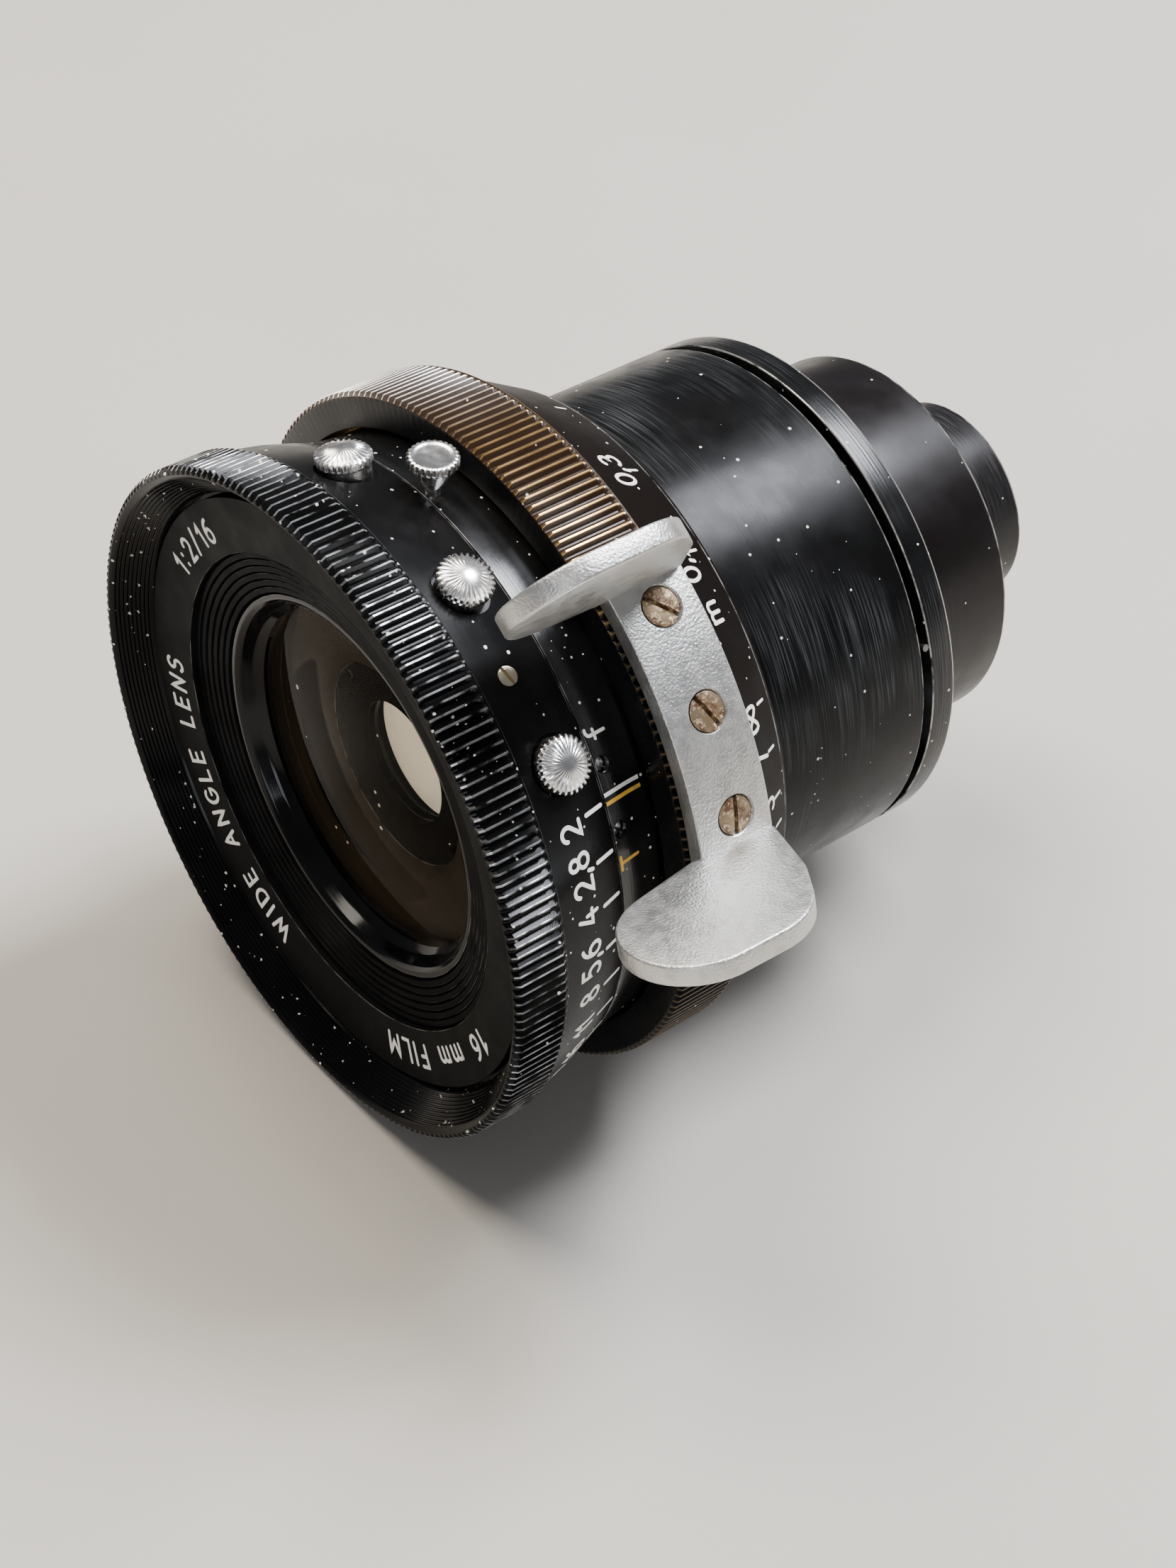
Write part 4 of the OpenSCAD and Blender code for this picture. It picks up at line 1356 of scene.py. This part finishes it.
    def key_slot(self) -> bpy.types.Object:
        """Makes the tool that cuts the slot for the mount's guide key."""
        half, travel, low, high = 1.03, 1.4, 16.6, 19.0
        outline = arc(0, 0, half, half, 0, 180) + arc(0, -travel, half, half, 180, 360)
        n = len(outline)
        points = [Vector((x, y, z)) * MM for z in (low, high) for x, y in outline]
        faces = [(k, (k + 1) % n, n + (k + 1) % n, n + k) for k in range(n)]
        tool = solid("key_slot", points, faces + [tuple(range(n)), tuple(range(n, 2 * n))])
        tool.data.transform(radial_frame(KEY_ANGLE, KEY_S))
        return tool

    def rear(self) -> None:
        """Builds the two tubes behind the mount, with the rear glass and its ring."""
        corners = [
            Corner(10.8, 12.05), Corner(10.8, 22.48), Corner(16.3, 22.48), Corner(16.3, 18.2),
            Corner(41.5, 18.2), Corner(41.5, 15.3), Corner(56.5, 15.3, 0.3, 0, 0.6), Corner(56.5, 8.42),
            Corner(40, 8.42), Corner(40, 11), Corner(12, 11), Corner(12, 12.05),
        ]
        piece = cut(turned("rear_tube_turned", corners), [self.key_slot()])
        dress(piece, self.body, Finish.REAR_BLACK, "rear_black", "inner_barrel")
        corners = [
            Corner(50, 7.2), Corner(50, 8.4), Corner(65.1, 8.4, 0.3, 0, 0.6), Corner(65.1, 7.6, 0.1),
            Corner(58.5, 7.6), Corner(58.5, 7.2),
        ]
        dress(turned("rear_cell_turned", corners), self.body, Finish.REAR_BLACK, "rear_black", "rear_cell")
        corners = [
            Corner(63.2, 7.56), Corner(63.2, 6.9), Corner(64.6, 6.6, 0.1, 0, 0.4), Corner(64.8, 6.7, 0.05),
            Corner(64.8, 7.56),
        ]
        piece = turned("rear_ring_turned", corners)
        dress(piece, self.body, Finish.NAME_BLACK, "matte_black", "rear_retaining_ring")
        keep("rear_element", Finish.CLEAR_GLASS)


@dataclass
class CameraMount:
    """The barrel and flange that the camera clamps, with the groove and the locating lug between them."""

    body: str = "lens_mount"
    mount_r: float = 20.5
    groove: Point = (43.0, 43.6)

    def build(self) -> None:
        """Builds every piece of the mount."""
        front, back = self.groove
        corners = [
            Corner(17.6, 18.26), Corner(17.6, 20.2), Corner(26.88, 20.2),
            Corner(26.88, self.mount_r, 0.12, 0, 0.5), Corner(front - 0.35, self.mount_r, 0.12, 0, 0.5),
            Corner(front, self.mount_r - 0.45, 0.05, 0, 0.5), Corner(front, 18.7), Corner(45.0, 18.7),
            Corner(45.0, 15.6), Corner(42, 15.6), Corner(42, 18.26),
        ]
        piece = turned("mount_barrel_turned", corners)
        tools = [
            drill("hole", KEY_ANGLE, KEY_S, 0.96, 17, 20.6), drill("sink", KEY_ANGLE, KEY_S, 1.5, 19.6, 22),
        ]
        dress(cut(piece, tools), self.body, Finish.BARREL_BLACK, "gloss_black_barrel", "mount_barrel")
        corners = [
            Corner(back, 18.72), Corner(back, self.mount_r, 0.12, 0, 0.8),
            Corner(SEAT, self.mount_r, 0.2, 0, 1.0), Corner(SEAT, 15.6), Corner(45.02, 15.6),
            Corner(45.02, 18.72),
        ]
        piece = turned("mount_flange_turned", corners)
        dress(piece, self.body, Finish.FLANGE_BLACK, "worn_flange", "mount_flange_ring")
        keep("locating_pin", Finish.STEEL)
        keep("guide_key_screw", Finish.STEEL)
        keep("focus_retaining_ring", Finish.STEEL)


@dataclass
class Studio:
    """A pale floor, soft lights and the camera."""

    floor_z: float = -26.85
    lens_mm: float = 63.68
    place: tuple[float, float, float] = (132.07, -123.50, 130.94)
    right: tuple[float, float, float] = (0.62018, 0.78446, 0.00052)
    up: tuple[float, float, float] = (-0.50633, 0.39980, 0.76406)
    # Direction from the lens, distance (mm), size (mm), power (W) and colour of each light
    lights: tuple[tuple[str, tuple[float, float, float], float, float, float, str], ...] = (
        ("window", (0.12, 0.50, 0.86), 620, 240, 9.5, "#f4f7ff"),
        ("ceiling", (-0.35, -0.10, 0.93), 750, 420, 8.0, "#fff6ea"),
        ("front_fill", (0.75, -0.65, 0.30), 800, 300, 1.6, "#f2f4ff"),
    )
    world: str = "#c3c8d2"
    world_strength: float = 0.28

    def build(self) -> None:
        """Builds the floor, the lights and the camera."""
        size = 900 * MM
        signs = ((-1, -1), (1, -1), (1, 1), (-1, 1))
        corners = [Vector((x * size, y * size, self.floor_z * MM)) for x, y in signs]
        mesh = bpy.data.meshes.new("floor")
        mesh.from_pydata(corners, [], [(0, 1, 2, 3)])
        floor = bpy.data.objects.new("floor", mesh)
        bpy.context.scene.collection.objects.link(floor)
        mesh.materials.append(Finish.FLOOR.material())
        for name, way, distance, width, power, colour in self.lights:
            self.light(name, Vector(way).normalized(), distance, width, power, colour)
        world = bpy.context.scene.world or bpy.data.worlds.new("studio")
        bpy.context.scene.world = world
        world.use_nodes = True
        back = next(n for n in world.node_tree.nodes if n.type == "BACKGROUND")
        back.inputs[0].default_value = srgb(self.world)
        back.inputs[1].default_value = self.world_strength
        self.camera()

    def light(
        self, name: str, way: Vector, distance: float, width: float, power: float, colour: str
    ) -> None:
        """Hangs a square soft light that looks at the lens.

        Args:
            name: Its name.
            way: Its direction from the lens.
            distance: Its distance, in mm.
            width: Its width, in mm.
            power: Its power, in watts.
            colour: Its colour.
        """
        data = bpy.data.lights.new(name, "AREA")
        data.size = width * MM
        data.energy = power
        data.color = srgb(colour)[:3]
        light = bpy.data.objects.new(name, data)
        light.location = way * distance * MM + Vector((0, -0.02, 0))
        light.rotation_mode = "QUATERNION"
        light.rotation_quaternion = (-way).to_track_quat("-Z", "Y")
        bpy.context.scene.collection.objects.link(light)

    def camera(self) -> None:
        """Sets up the camera, above the lens and to its right."""
        data = bpy.data.cameras.new("camera")
        data.lens = self.lens_mm
        data.sensor_width = 36
        data.clip_start, data.clip_end = 0.01, 20
        right, up = Vector(self.right), Vector(self.up)
        turn = Matrix((right, up, right.cross(up))).transposed().to_4x4()
        camera = bpy.data.objects.new("camera", data)
        camera.matrix_world = Matrix.Translation(Vector(self.place) * MM) @ turn
        bpy.context.scene.collection.objects.link(camera)
        bpy.context.scene.camera = camera


def main() -> None:
    """Builds the lens, sub-assembly by sub-assembly, and the studio round it."""
    logging.basicConfig(level=logging.INFO, format="%(name)s %(message)s")
    for part in (ApertureRing(), FocusRing(), OpticalBlock(), CameraMount()):
        LOG.info("building %s", type(part).__name__)
        part.build()
    for k in range(1, 9):
        keep(f"iris_blade_{k}", Finish.BLADE)
    Studio().build()


if __name__ == "__main__":
    main()
